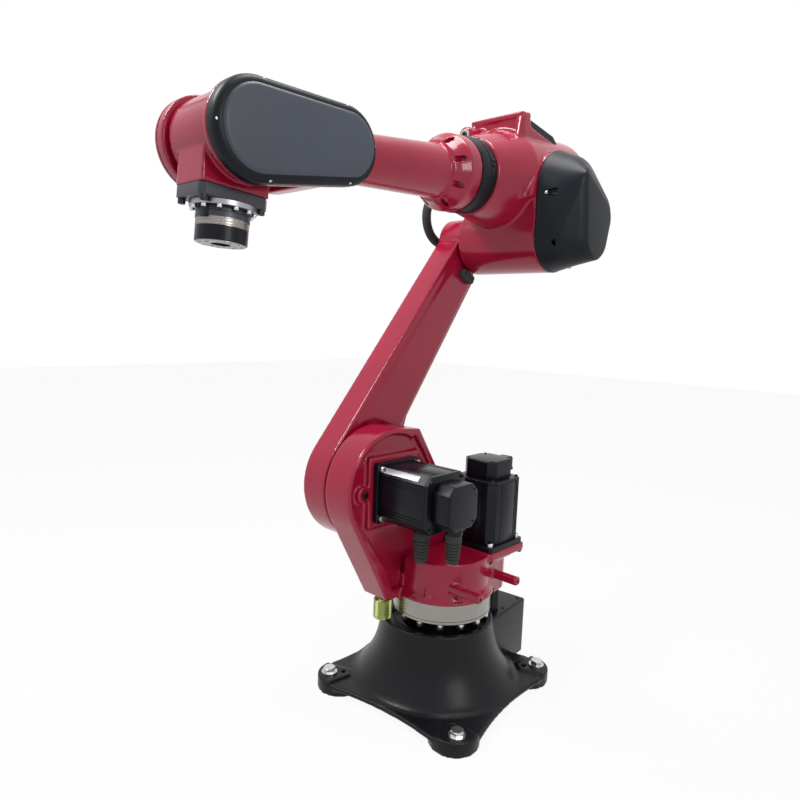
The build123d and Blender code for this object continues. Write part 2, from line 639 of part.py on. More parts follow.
# Elbow housing: hinge barrel, motor housing, neck toward the forearm and mounting pad on top
with BuildPart() as elbow:
    with BuildSketch(side(ELBOW_INNER, ELBOW_X, ELBOW_Z)):
        Circle(HINGE_R)
    extrude(amount=ELBOW_INNER - HINGE_OUTER)
    with BuildSketch(side(HINGE_OUTER, ELBOW_X, ELBOW_Z)):
        Circle(COVER_LOW_R)
        with Locations(COVER_HIGH):
            Circle(COVER_HIGH_R)
        make_hull()
    extrude(amount=HINGE_OUTER)
    with BuildSketch(forearm_at(BODY_BACK)):
        Circle(BODY_R)
    extrude(amount=BODY_FRONT - BODY_BACK)
    with BuildSketch(forearm_at(BODY_FRONT)):
        Circle(BODY_R)
    with BuildSketch(forearm_at(NECK_FRONT)):
        Circle(NECK_R)
    loft()
    with BuildSketch(forearm_side(TOP_PAD_HALF)):
        with BuildLine():
            Polyline(
                (TOP_PAD_FRONT, 0),
                (TOP_PAD_FRONT, TOP_PAD_RISE),
                (TOP_PAD_BACK, TOP_PAD_RISE),
                *TOP_SLOPE,
                close=True,
            )
        make_face()
    extrude(amount=2 * TOP_PAD_HALF)
    pad_origin = forearm_side(0).from_local_coords((PAD_MIDDLE, TOP_PAD_RISE, 0))
    pad_plane = Plane(origin=pad_origin, x_dir=(0, 1, 0), z_dir=(sin(DIP), 0, cos(DIP)))
    with BuildSketch(pad_plane):
        with GridLocations(TOP_HOLE_PITCH, 0, 2, 1):
            Circle(TOP_HOLE_R)
    extrude(amount=-TOP_HOLE_DEPTH, mode=Mode.SUBTRACT)
    split(bisect_by=Plane(origin=(0, ELBOW_SIDE, 0), z_dir=(0, 1, 0)), keep=Keep.TOP)
    plug_plane = forearm_at(PLUG_AT[0]).offset(-PLUG_LENGTH)
    with BuildSketch(plug_plane):
        with Locations((PLUG_AT[1], PLUG_AT[2])):
            Circle(PLUG_R)
    extrude(amount=PLUG_LENGTH)
save(elbow, "elbow_housing")

with BuildPart() as hinge_disc:
    with BuildSketch(side(ELBOW_INNER, ELBOW_X, ELBOW_Z)):
        Circle(HINGE_DISC_R)
    extrude(amount=ELBOW_INNER - ARM_INNER - SLIP)
save(hinge_disc, "elbow_reducer_disc")

with BuildPart() as collar:
    with BuildSketch(forearm_at(NECK_FRONT)):
        Circle(COLLAR_R)
    extrude(amount=COLLAR_FRONT - NECK_FRONT)
save(collar, "forearm_collar")

# Large cover over the elbow motor
with BuildPart() as motor_cover:
    with BuildSketch(side(HINGE_OUTER, ELBOW_X, ELBOW_Z)):
        Circle(COVER_LOW_R)
        with Locations(COVER_HIGH):
            Circle(COVER_HIGH_R)
        make_hull()
    with BuildSketch(side(COVER_MID_Y, ELBOW_X, ELBOW_Z)):
        with Locations(MID_LOW):
            Circle(MID_LOW_R)
        with Locations(MID_HIGH):
            Circle(MID_HIGH_R)
        make_hull()
    loft()
    with BuildSketch(side(COVER_MID_Y, ELBOW_X, ELBOW_Z)):
        with Locations(MID_LOW):
            Circle(MID_LOW_R)
        with Locations(MID_HIGH):
            Circle(MID_HIGH_R)
        make_hull()
    with BuildSketch(side(COVER_FACE_Y, ELBOW_X, ELBOW_Z)):
        for centre, radius in FACE_ROUNDS:
            with Locations(centre):
                Circle(radius)
        make_hull()
    loft()
save(motor_cover, "elbow_motor_cover")

with BuildPart() as back_cover:
    with BuildSketch(forearm_side(BACK_COVER_HALF)):
        with BuildLine():
            Polyline(
                *TOP_SLOPE[:3],
                (TOP_SLOPE[2][0] - BACK_COVER_RISE, TOP_SLOPE[2][1] + BACK_COVER_RISE / 2),
                (TOP_SLOPE[1][0] - BACK_COVER_RISE / 2, TOP_SLOPE[1][1] + BACK_COVER_RISE),
                (TOP_SLOPE[0][0], TOP_SLOPE[0][1] + BACK_COVER_RISE),
                close=True,
            )
        make_face()
    extrude(amount=2 * BACK_COVER_HALF)
    add(elbow.part, mode=Mode.SUBTRACT)
save(back_cover, "elbow_back_cover")

# Cable conduit: leaves the housing, passes outside the arm and enters it on the elbow axis
with BuildPart() as conduit:
    with BuildLine():
        c1 = Line((ELBOW_X, ELBOW_SIDE, CONDUIT_TOP), (ELBOW_X, CONDUIT_Y + CONDUIT_BEND, CONDUIT_TOP))
        bend_end = (ELBOW_X + CONDUIT_BEND, CONDUIT_Y, CONDUIT_TOP)
        c2 = TangentArc(c1 @ 1, bend_end, tangent=c1 % 1)
        loop_side = (ELBOW_X + CONDUIT_BEND + CONDUIT_LOOP_R, CONDUIT_Y, ELBOW_Z + CONDUIT_LOOP_R)
        c3 = ThreePointArc(c2 @ 1, loop_side, (ELBOW_X + CONDUIT_BEND, CONDUIT_Y, ELBOW_Z))
        TangentArc(c3 @ 1, (ELBOW_X, CONDUIT_Y + CONDUIT_BEND, ELBOW_Z), tangent=c3 % 1)
    with BuildSketch(Plane(origin=c1 @ 0, z_dir=c1 % 0)):
        Circle(CONDUIT_R)
    sweep()
save(conduit, "elbow_conduit")

# Forearm casting: bolted flange, tapering tube and the fork that holds the wrist
with BuildPart() as forearm:
    with BuildSketch(forearm_at(FOREARM_FLANGE_BACK)):
        Circle(FOREARM_FLANGE_R)
    extrude(amount=FOREARM_FLANGE_RIM)
    with BuildSketch(forearm_at(FOREARM_FLANGE_BACK + FOREARM_FLANGE_RIM)):
        Circle(FOREARM_FLANGE_R)
    with BuildSketch(forearm_at(CONE_END)):
        Circle(TUBE_BACK_R)
    loft()
    with BuildSketch(forearm_at(CONE_END)):
        Circle(TUBE_BACK_R)
    with BuildSketch(forearm_at(TUBE_END)):
        Circle(TUBE_FRONT_R)
    loft()
    with BuildSketch(forearm_at(YOKE_BACK)):
        Circle(TUBE_FRONT_R)
    with BuildSketch(forearm_at(YOKE_FULL)):
        with Locations(((CHEEK_OUTER + FAR_CHEEK_OUTER) / 2, 0)):
            Rectangle(CHEEK_OUTER - FAR_CHEEK_OUTER, YOKE_HEIGHT)
    loft()
    with BuildSketch(forearm_at(YOKE_FULL)):
        with Locations(((CHEEK_OUTER + FAR_CHEEK_OUTER) / 2, 0)):
            Rectangle(CHEEK_OUTER - FAR_CHEEK_OUTER, YOKE_HEIGHT)
    extrude(amount=FOREARM_LENGTH - YOKE_FULL)
    with BuildSketch(wrist_side(CHEEK_OUTER)):
        Circle(CHEEK_R)
        with Locations((-BELT_REAR, BELT_REAR_RISE)):
            Circle(BELT_REAR_R)
        make_hull()
    extrude(amount=CHEEK_OUTER - CHEEK_INNER)
    with BuildSketch(wrist_side(FAR_CHEEK_INNER)):
        Circle(CHEEK_R)
        with Locations((-FAR_REAR, 0)):
            Circle(FAR_REAR_R)
        make_hull()
    extrude(amount=FAR_CHEEK_INNER - FAR_CHEEK_OUTER)
    with BuildSketch(wrist_side(CHEEK_INNER)):
        Circle(YOKE_CLEAR_R)
    extrude(amount=CHEEK_INNER - FAR_CHEEK_INNER, mode=Mode.SUBTRACT)
save(forearm, "forearm_casting")

with BuildPart() as belt_cover:
    with BuildSketch(wrist_side(CHEEK_OUTER)):
        Circle(CHEEK_R)
        with Locations((-BELT_REAR, BELT_REAR_RISE)):
            Circle(BELT_REAR_R)
        make_hull()
    extrude(amount=-BELT_COVER_THICK)
    chamfer(belt_cover.edges().group_by(Axis.Y)[-1], BELT_COVER_EDGE)
save(belt_cover, "wrist_belt_cover")

with BuildPart() as far_cap:
    with BuildSketch(wrist_side(FAR_CHEEK_OUTER)):
        Circle(FAR_CAP_R)
    extrude(amount=FAR_CAP_THICK)
    fillet(far_cap.edges().group_by(Axis.Y)[0], radius=FAR_CAP_ROUND)
save(far_cap, "wrist_far_cap")

# Wrist: a barrel between the fork cheeks with a square foot for the tool reducer
with BuildPart() as wrist:
    with BuildSketch(wrist_side(WRIST_INNER)):
        Circle(WRIST_R)
    extrude(amount=WRIST_INNER - WRIST_OUTER)
    with BuildSketch(wrist_side(CHEEK_INNER - SLIP)):
        Circle(WRIST_BOSS_R)
    extrude(amount=CHEEK_INNER - FAR_CHEEK_INNER - 2 * SLIP)
    with BuildSketch(tool_at(-WRIST_BLOCK_RISE)):
        with Locations((WRIST_BLOCK_AT, 0)):
            Rectangle(*WRIST_BLOCK)
    extrude(amount=PLATE_BACK + WRIST_BLOCK_RISE)
save(wrist, "wrist_casting")

with BuildPart() as tool_plate:
    with BuildSketch(tool_at(PLATE_BACK)) as plate_outline:
        with Locations((WRIST_BLOCK_AT, 0)):
            Rectangle(*TOOL_PLATE_SIZE)
        chamfer(plate_outline.vertices(), TOOL_PLATE_CHAMFER)
    extrude(amount=PLATE_FRONT - PLATE_BACK)
save(tool_plate, "wrist_flange_plate")

with BuildPart() as tool_ring:
    with BuildSketch(tool_at(PLATE_FRONT)):
        Circle(TOOL_RING_R)
    extrude(amount=TOOL_RING_THICK)
save(tool_ring, "tool_reducer_flange")
with BuildPart() as reducer:
    with BuildSketch(tool_at(PLATE_FRONT + TOOL_RING_THICK)):
        Circle(REDUCER_R)
    extrude(amount=REDUCER_END - PLATE_FRONT - TOOL_RING_THICK)
save(reducer, "tool_reducer_body")
with BuildPart() as band:
    with BuildSketch(tool_at(REDUCER_END)):
        Circle(BAND_R)
    extrude(amount=BAND_END - REDUCER_END)
save(band, "tool_reducer_band")

with BuildPart() as tool:
    with BuildSketch(tool_at(BAND_END + SLIP)):
        Circle(TOOL_R)
    extrude(amount=TOOL_REACH - BAND_END - SLIP)
    with BuildSketch(tool_at(TOOL_REACH)):
        Circle(TOOL_BORE_R)
    extrude(amount=-TOOL_BORE_DEPTH, mode=Mode.SUBTRACT)
    with BuildSketch(tool_at(TOOL_REACH)):
        with PolarLocations(TOOL_HOLES_PCD / 2, 4):
            Circle(TOOL_HOLE_R)
    extrude(amount=-TOOL_HOLE_DEPTH, mode=Mode.SUBTRACT)
save(tool, "tool_flange")
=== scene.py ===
"""Looks of a six-axis robot arm on a cast pedestal base.

Lengths are millimetres in the arm's own frame and become metres in the meshes. +Z is up, +X is the
way the arm reaches at rest, and +Y is the side of the shoulder motor and of the large elbow cover.
"""

from __future__ import annotations

import logging
import math
from dataclasses import dataclass
from enum import Enum

import bmesh
import bpy
from mathutils import Matrix, Vector


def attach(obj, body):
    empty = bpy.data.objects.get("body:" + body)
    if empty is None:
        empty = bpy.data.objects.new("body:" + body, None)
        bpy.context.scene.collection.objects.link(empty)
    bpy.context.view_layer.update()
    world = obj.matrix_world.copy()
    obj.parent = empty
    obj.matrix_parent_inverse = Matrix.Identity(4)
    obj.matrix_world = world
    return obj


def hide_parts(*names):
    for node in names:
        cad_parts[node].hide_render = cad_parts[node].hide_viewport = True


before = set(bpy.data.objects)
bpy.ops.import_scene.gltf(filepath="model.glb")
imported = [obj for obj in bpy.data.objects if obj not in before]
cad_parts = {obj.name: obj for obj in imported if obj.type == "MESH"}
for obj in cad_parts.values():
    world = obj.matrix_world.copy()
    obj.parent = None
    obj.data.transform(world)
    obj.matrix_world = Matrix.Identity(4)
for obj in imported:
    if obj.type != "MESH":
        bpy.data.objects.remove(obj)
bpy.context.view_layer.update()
LOG = logging.getLogger("robot_arm")
MM = 0.001
SHARP = 32.0
CAST_SHARP = 60.0
CUT_SHARP = 40.0
WELD = 1e-6
COAT_ROUGHNESS = 0.06
LEAST_ROUGHNESS = 0.02
BLOTCH_DETAIL = 3.0
GRAIN_DETAIL = 2.0
BLOTCH_BAND = (0.3, 0.7)
BEVEL_FROM = 50.0
THIN_LIMIT = 0.02
RING_LIMIT = 0.2
EDGE_STEPS = 5
EDGE_TURN = 22.5
SIGNS = (-1, 1)
UP = Vector((0, 0, 1))
FORWARD = Vector((1, 0, 0))
LEFT = Vector((0, 1, 0))
Triple = tuple[float, float, float]
Circle = Triple
Point = tuple[float, float]
Seat = tuple[Vector, Vector]


class Body(Enum):
    """The moving bodies of the arm."""

    BASE = "base"
    TURRET = "turret"
    UPPER_ARM = "upper_arm"
    ELBOW = "elbow"
    FOREARM = "forearm"
    WRIST = "wrist"
    TOOL = "tool"


class Head(Enum):
    """Kinds of screw head."""

    HEX = "hex"
    CAP = "cap"
    PAN = "pan"
    RIB = "rib"


# Radius and height of each ring of a head, and 1 where it is a hexagon.
HEAD_RINGS = {
    Head.HEX: (
        (1.25, 0, 0), (1.25, 0.24, 0), (0.99, 0.25, 1), (0.99, 0.92, 1), (0.86, 1, 0), (0.4, 1, 0),
    ),
    Head.CAP: (
        (1, 0, 0), (1, 0.86, 0), (0.92, 1, 0), (0.58, 1, 1), (0.55, 0.45, 1), (0.1, 0.38, 0),
    ),
    Head.PAN: (
        (1, 0, 0), (0.96, 0.4, 0), (0.8, 0.8, 0), (0.52, 1, 0), (0.46, 1, 1), (0.42, 0.4, 1),
    ),
    Head.RIB: ((1, 0, 0), (1, 0.8, 0), (0.7, 1, 0)),
}
HEAD_STEPS = 24
SIXTH = math.pi / 6


@dataclass(frozen=True)
class Place:
    """A local frame: where it stands, its x axis and the way its z axis faces."""

    origin: Vector
    across: Vector
    facing: Vector

    def matrix(self) -> Matrix:
        """Takes local millimetres to metres in the arm's frame.

        Returns:
            The matrix.
        """
        rows = Matrix((self.across, self.facing.cross(self.across), self.facing))
        turn = rows.transposed().to_4x4()
        turn.translation = self.origin
        return Matrix.Scale(MM, 4) @ turn

    def at(self, x: float, y: float, z: float = 0.0) -> Vector:
        """A local point as millimetres of the arm's frame."""
        return self.origin + self.across * x + self.facing.cross(self.across) * y + self.facing * z

    def moved(self, x: float = 0.0, y: float = 0.0, z: float = 0.0) -> Place:
        """The same frame at another local point."""
        return Place(self.at(x, y, z), self.across, self.facing)


@dataclass(frozen=True)
class Layout:
    """Joint points and angles of the arm at rest."""

    base_yaw: float = 5.3
    shoulder_x: float = 138.0
    shoulder_z: float = 468.0
    arm_length: float = 645.0
    lean: float = math.radians(32.0)
    dip: float = math.radians(5.0)
    tilt: float = math.radians(5.0)
    elbow_rise: float = 128.0
    forearm_length: float = 748.0

    def elbow(self) -> Vector:
        """The elbow axis at y 0."""
        x = self.shoulder_x - self.arm_length * math.sin(self.lean)
        return Vector((x, 0.0, self.shoulder_z + self.arm_length * math.cos(self.lean)))

    def root(self) -> Vector:
        """Where the forearm axis passes over the elbow axis."""
        rise = Vector((math.sin(self.dip), 0.0, math.cos(self.dip)))
        return self.elbow() + rise * self.elbow_rise

    def wrist(self) -> Vector:
        """The wrist axis at y 0."""
        return self.root() + self.forearm_way() * self.forearm_length

    def forearm_way(self) -> Vector:
        """Unit vector forward along the forearm."""
        return Vector((math.cos(self.dip), 0.0, -math.sin(self.dip)))

    def tool_way(self) -> Vector:
        """Unit vector out of the tool face."""
        return Vector((math.sin(self.tilt), 0.0, -math.cos(self.tilt)))

    def level(self, z: float = 0.0) -> Place:
        """Level frame at a height, turned with the turret."""
        return Place(UP * z, FORWARD, UP)

    def base(self, z: float = 0.0) -> Place:
        """Level frame at a height, turned with the base."""
        yaw = math.radians(self.base_yaw)
        return Place(UP * z, Vector((math.cos(yaw), math.sin(yaw), 0)), UP)

    def upright(self, x: float, y: float, z: float) -> Place:
        """Upright frame that faces +Y; local x is -X and local y is up."""
        return Place(Vector((x, y, z)), -FORWARD, LEFT)

    def arm_side(self, y: float) -> Place:
        """Frame on the shoulder axis that faces -Y; local y runs up the arm."""
        across = Vector((math.cos(self.lean), 0, math.sin(self.lean)))
        return Place(Vector((self.shoulder_x, y, self.shoulder_z)), across, -LEFT)

    def elbow_side(self, y: float) -> Place:
        """Frame on the elbow axis that faces -Y; local x is +X and local y is up."""
        return Place(self.elbow() + LEFT * y, FORWARD, -LEFT)

    def forearm_side(self, y: float) -> Place:
        """Frame on the forearm axis that faces -Y; local x runs forward."""
        return Place(self.root() + LEFT * y, self.forearm_way(), -LEFT)

    def wrist_side(self, y: float) -> Place:
        """Frame on the wrist axis that faces -Y; local x runs forward."""
        return Place(self.wrist() + LEFT * y, self.forearm_way(), -LEFT)

    def forearm_at(self, distance: float) -> Place:
        """Frame square to the forearm; local x is +Y and local y is up."""
        way = self.forearm_way()
        return Place(self.root() + way * distance, LEFT, way)

    def tool_at(self, distance: float) -> Place:
        """Frame square to the tool axis; local x is forward and local y is -Y."""
        way = self.tool_way()
        across = Vector((math.cos(self.tilt), 0, math.sin(self.tilt)))
        return Place(self.wrist() + way * distance, across, way)


LAYOUT = Layout()


@dataclass(frozen=True)
class Finish:
    """A surface finish: colour, gloss and the fine texture that breaks it up."""

    name: str
    slot: str
    colour: Triple
    roughness: float
    metallic: float = 0.0
    coat: float = 0.0
    blotch: float = 0.08
    blotch_scale: float = 9.0
    grain_scale: float = 420.0
    grain: float = 0.12
    grain_depth: float = 0.0004
    stretch: Triple = (1.0, 1.0, 1.0)
    transmission: float = 0.0
    gloss_spread: float = 0.08
    gloss: float = 0.5

    def material(self) -> bpy.types.Material:
        """Builds the node material once and returns it afterwards.

        Returns:
            The material with this finish's name.
        """
        found = bpy.data.materials.get(self.name)
        if found:
            return found
        made = bpy.data.materials.new(self.name)
        made.use_nodes = True
        nodes, links = made.node_tree.nodes, made.node_tree.links
        shader = nodes["Principled BSDF"]
        shader.inputs["Metallic"].default_value = self.metallic
        shader.inputs["Coat Weight"].default_value = self.coat
        shader.inputs["Coat Roughness"].default_value = COAT_ROUGHNESS
        shader.inputs["Specular IOR Level"].default_value = self.gloss
        shader.inputs["Transmission Weight"].default_value = self.transmission
        where = nodes.new("ShaderNodeTexCoord")
        stretch = nodes.new("ShaderNodeMapping")
        stretch.inputs["Scale"].default_value = self.stretch
        links.new(where.outputs["Object"], stretch.inputs["Vector"])
        blotch = self._noise(made, where.outputs["Object"], self.blotch_scale, BLOTCH_DETAIL)
        grain = self._noise(made, stretch.outputs["Vector"], self.grain_scale, GRAIN_DETAIL)
        links.new(self._between(made, blotch), shader.inputs["Base Color"])
        spread = nodes.new("ShaderNodeMapRange")
        low, high = self.roughness - self.gloss_spread, self.roughness + self.gloss_spread
        spread.inputs["To Min"].default_value = max(LEAST_ROUGHNESS, low)
        spread.inputs["To Max"].default_value = min(1.0, high)
        links.new(grain, spread.inputs["Value"])
        links.new(spread.outputs["Result"], shader.inputs["Roughness"])
        bump = nodes.new("ShaderNodeBump")
        bump.inputs["Strength"].default_value = self.grain
        bump.inputs["Distance"].default_value = self.grain_depth
        links.new(grain, bump.inputs["Height"])
        links.new(bump.outputs["Normal"], shader.inputs["Normal"])
        return made

    def _noise(
        self, made: bpy.types.Material, vector: bpy.types.NodeSocket, scale: float, detail: float
    ) -> bpy.types.NodeSocket:
        """Adds a noise texture.

        Args:
            made: The material to add it to.
            vector: The coordinates it reads.
            scale: Features per metre.
            detail: Octaves of finer noise.

        Returns:
            The noise value's socket.
        """
        node = made.node_tree.nodes.new("ShaderNodeTexNoise")
        node.inputs["Scale"].default_value = scale
        node.inputs["Detail"].default_value = detail
        made.node_tree.links.new(vector, node.inputs["Vector"])
        return node.outputs["Fac"]

    def _between(
        self, made: bpy.types.Material, value: bpy.types.NodeSocket
    ) -> bpy.types.NodeSocket:
        """Colour that drifts a little darker and lighter with the noise.

        Args:
            made: The material to add it to.
            value: The noise value's socket.

        Returns:
            The colour's socket.
        """
        ramp = made.node_tree.nodes.new("ShaderNodeValToRGB")
        for element, position in zip(ramp.color_ramp.elements, BLOTCH_BAND):
            element.position = position
        for element, share in zip(ramp.color_ramp.elements, (1 - self.blotch, 1 + self.blotch)):
            element.color = (*(min(1.0, c * share) for c in self.colour), 1.0)
        made.node_tree.links.new(value, ramp.inputs["Fac"])
        return ramp.outputs["Color"]


RED = Finish(
    "cast_red_enamel", "red_paint", (0.34, 0.005, 0.034), 0.2, gloss=0.34, coat=0.16,
    grain_scale=230.0, grain=0.3, grain_depth=0.0005,
)
SMOOTH_RED = Finish(
    "smooth_red_enamel", "red_paint", (0.35, 0.005, 0.035), 0.18, gloss=0.34, coat=0.2,
    grain_scale=300.0, grain=0.14, grain_depth=0.0004,
)
BLACK_PAINT = Finish(
    "black_base_paint", "black_paint", (0.006, 0.006, 0.008), 0.34, gloss=0.2,
    grain_scale=330.0, grain=0.3, grain_depth=0.0007,
)
BLACK_COVER = Finish(
    "black_moulded_cover", "black_plastic", (0.006, 0.008, 0.012), 0.4, gloss=0.18,
    grain_scale=900.0, grain=0.18, blotch=0.15,
)
BLUE_COVER = Finish(
    "slate_cover_face", "black_plastic", (0.055, 0.064, 0.085), 0.44, gloss=0.4,
    grain_scale=1100.0, grain=0.16, blotch=0.06,
)
MOTOR = Finish(
    "black_motor_coating", "motor_black", (0.004, 0.005, 0.009), 0.3, gloss=0.2,
    grain_scale=1500.0, grain=0.2, blotch=0.2,
)
RUBBER = Finish(
    "black_rubber", "black_rubber", (0.007, 0.007, 0.008), 0.6, gloss=0.3, grain_scale=700.0,
    grain=0.3,
)
STEEL = Finish(
    "turned_steel", "steel", (0.3, 0.28, 0.26), 0.28, metallic=1.0, grain_scale=40.0,
    stretch=(0.6, 0.6, 45.0), grain=0.16, grain_depth=0.0003, blotch_scale=14.0,
)
SCREW = Finish(
    "zinc_screws", "steel", (0.62, 0.62, 0.63), 0.26, metallic=1.0, grain_scale=600.0,
    blotch_scale=40.0,
)
DARK_SCREW = Finish(
    "black_oxide_screws", "steel", (0.035, 0.035, 0.04), 0.34, metallic=0.8, blotch_scale=40.0,
)
ALUMINIUM = Finish(
    "machined_aluminium", "bare_aluminium", (0.34, 0.345, 0.37), 0.36, metallic=1.0,
    grain_scale=160.0, stretch=(3.0, 3.0, 12.0),
)
SLATE = Finish(
    "dark_anodised_plate", "grey_metal", (0.05, 0.05, 0.065), 0.4, metallic=0.5,
    grain_scale=300.0,
)
GREY = Finish(
    "grey_reducer_case", "grey_metal", (0.13, 0.13, 0.155), 0.35, metallic=0.85,
    grain_scale=240.0, stretch=(1, 1, 8),
)
URETHANE = Finish(
    "amber_urethane", "urethane", (0.78, 0.86, 0.3), 0.1, transmission=0.85, grain_scale=160.0,
    grain=0.08, blotch=0.1,
)
PALE = Finish(
    "pale_plastic_ring", "bare_aluminium", (0.6, 0.6, 0.6), 0.4, grain_scale=500.0,
)


def shaded(mesh: bpy.types.Mesh, angle: float = SHARP) -> bpy.types.Mesh:
    """Shades a mesh smooth but for its sharp edges.

    Args:
        mesh: The mesh.
        angle: Edges sharper than this many degrees stay sharp.

    Returns:
        The same mesh.
    """
    mesh.shade_smooth()
    mesh.set_sharp_from_angle(angle=math.radians(angle))
    return mesh


def meshed(name: str, form: bmesh.types.BMesh) -> bpy.types.Mesh:
    """Turns a working mesh into one of the file's.

    Args:
        name: Name of the mesh.
        form: The working mesh, which is freed.

    Returns:
        The new mesh.
    """
    mesh = bpy.data.meshes.new(name)
    form.to_mesh(mesh)
    form.free()
    return mesh


def baked(obj: bpy.types.Object, angle: float = SHARP) -> bpy.types.Object:
    """Applies every modifier and shades the result.

    Args:
        obj: The object to settle.
        angle: Edges sharper than this many degrees stay sharp.

    Returns:
        The same object with a plain mesh.
    """
    graph = bpy.context.evaluated_depsgraph_get()
    mesh = bpy.data.meshes.new_from_object(obj.evaluated_get(graph))
    obj.modifiers.clear()
    obj.data = mesh
    mesh.name = obj.name
    shaded(mesh, angle)
    return obj


def link(name: str, mesh: bpy.types.Mesh) -> bpy.types.Object:
    """Puts a mesh in the scene as an object of its own.

    Args:
        name: Name of the object.
        mesh: Its mesh.

    Returns:
        The new object.
    """
    obj = bpy.data.objects.new(name, mesh)
    bpy.context.scene.collection.objects.link(obj)
    return obj


def skin(
    name: str, rings: list[list[Vector]], place: Place, angle: float = SHARP
) -> bpy.types.Object:
    """Closed shell over rings of points.

    Args:
        name: Name of the piece.
        rings: Rings of equal length, in local millimetres.
        place: Frame the rings stand in.
        angle: Edges sharper than this many degrees stay sharp.

    Returns:
        The new object.
    """
    take = place.matrix()
    form = bmesh.new()
    laid = [[form.verts.new(take @ p) for p in ring] for ring in rings]
    for low, high in zip(laid, laid[1:]):
        for i in range(len(low)):
            j = (i + 1) % len(low)
            form.faces.new((low[i], low[j], high[j], high[i]))
    form.faces.new(laid[0])
    form.faces.new(laid[-1])
    bmesh.ops.remove_doubles(form, verts=form.verts, dist=WELD)
    bmesh.ops.recalc_face_normals(form, faces=form.faces)
    return link(name, shaded(meshed(name, form), angle))


def hull_ring(circles: tuple[Circle, ...], inset: float, z: float, steps: int = 96) -> list[Vector]:
    """Ring round the hull of some circles, drawn in by an inset.

    Args:
        circles: Centre x, centre y and radius of each.
        inset: How far the ring lies inside the hull.
        z: Local height of the ring.
        steps: Points on the ring.

    Returns:
        The ring's points.
    """
    ring = []
    for i in range(steps):
        way = Vector((math.cos(math.tau * i / steps), math.sin(math.tau * i / steps)))
        x, y, r = max(circles, key=lambda c: c[0] * way.x + c[1] * way.y + c[2])
        reach = max(r - inset, RING_LIMIT)
        ring.append(Vector((x + way.x * reach, y + way.y * reach, z)))
    return ring


def slab(
    name: str,
    circles: tuple[Circle, ...],
    place: Place,
    low: float,
    high: float,
    edge: float = 1.0,
    foot: float = 0.0,
    steps: int = 96,
) -> bpy.types.Object:
    """Plate with the outline of a hull of circles and rounded edges.

    Args:
        name: Name of the piece.
        circles: Circles of the outline.
        place: Frame it stands in.
        low: Local z where it starts.
        high: Local z where it ends.
        edge: Radius of the edge at high.
        foot: Radius of the edge at low.
        steps: Points on each ring.

    Returns:
        The new object.
    """
    rings = []
    for k in range(EDGE_STEPS if foot else 1):
        turn = math.radians(EDGE_TURN * k)
        inset, z = foot * (1 - math.sin(turn)), low + foot * (1 - math.cos(turn))
        rings.append(hull_ring(circles, inset, z, steps))
    for k in range(EDGE_STEPS):
        turn = math.radians(EDGE_TURN * k)
        inset, z = edge * (1 - math.cos(turn)), high - edge * (1 - math.sin(turn))
        rings.append(hull_ring(circles, inset, z, steps))
    return skin(name, rings, place)


def corners(
    width: float, height: float, radius: float, x: float = 0.0, y: float = 0.0
) -> tuple[Circle, ...]:
    """Four corner circles of a rounded rectangle.

    Args:
        width: Size along x.
        height: Size along y.
        radius: Radius of each corner.
        x: Centre x.
        y: Centre y.

    Returns:
        The circles.
    """
    half_x, half_y = width / 2 - radius, height / 2 - radius
    return tuple((x + i * half_x, y + j * half_y, radius) for i in SIGNS for j in SIGNS)


def chamfered(
    width: float, height: float, bevel: float, round_r: float = 1.5
) -> tuple[Circle, ...]:
    """Small circles at the eight corners of a rectangle with its corners cut off.

    Args:
        width: Size along x.
        height: Size along y.
        bevel: How far in each corner is cut.
        round_r: Radius of the circles.

    Returns:
        The circles.
    """
    ends = []
    for i in SIGNS:
        for j in SIGNS:
            ends.append((i * (width / 2 - round_r), j * (height / 2 - bevel), round_r))
            ends.append((i * (width / 2 - bevel), j * (height / 2 - round_r), round_r))
    return tuple(ends)


def lathe(name: str, profile: tuple[Point, ...], place: Place, steps: int = 96) -> bpy.types.Object:
    """Turned piece.

    Args:
        name: Name of the piece.
        profile: Radius and height of each ring, from one end to the other.
        place: Frame it stands in.
        steps: Points on each ring.

    Returns:
        The new object.
    """
    rings = []
    for radius, z in profile:
        reach = max(radius, THIN_LIMIT)
        spin = (math.tau * i / steps for i in range(steps))
        rings.append([Vector((reach * math.cos(a), reach * math.sin(a), z)) for a in spin])
    return skin(name, rings, place)


def ring_lathe(
    name: str, profile: tuple[Point, ...], place: Place, steps: int = 128
) -> bpy.types.Object:
    """Turned ring with a bore.

    Args:
        name: Name of the piece.
        profile: Closed loop of radius and height.
        place: Frame it stands in.
        steps: Sections round the ring.

    Returns:
        The new object.
    """
    take = place.matrix()
    form = bmesh.new()
    loops = []
    for i in range(steps):
        turn = math.tau * i / steps
        points = (Vector((r * math.cos(turn), r * math.sin(turn), z)) for r, z in profile)
        loops.append([form.verts.new(take @ p) for p in points])
    for i, here in enumerate(loops):
        there = loops[(i + 1) % steps]
        for j in range(len(profile)):
            k = (j + 1) % len(profile)
            form.faces.new((here[j], there[j], there[k], here[k]))
    bmesh.ops.recalc_face_normals(form, faces=form.faces)
    return link(name, shaded(meshed(name, form)))


def prism(
    name: str, outline: list[Point], place: Place, low: float, high: float, edge: float = 0.8
) -> bpy.types.Object:
    """Extruded outline of any shape with a narrow bevel.

    Args:
        name: Name of the piece.
        outline: Corners of the outline in order.
        place: Frame it stands in.
        low: Local z where it starts.
        high: Local z where it ends.
        edge: Width of the bevel.

    Returns:
        The new object.
    """
    rings = [[Vector((x, y, z)) for x, y in outline] for z in (low, high)]
    obj = skin(name, rings, place)
    bevel = obj.modifiers.new("bevel", "BEVEL")
    bevel.width = edge * MM
    bevel.segments = 2
    bevel.limit_method = "ANGLE"
    bevel.angle_limit = math.radians(BEVEL_FROM)
    return baked(obj)


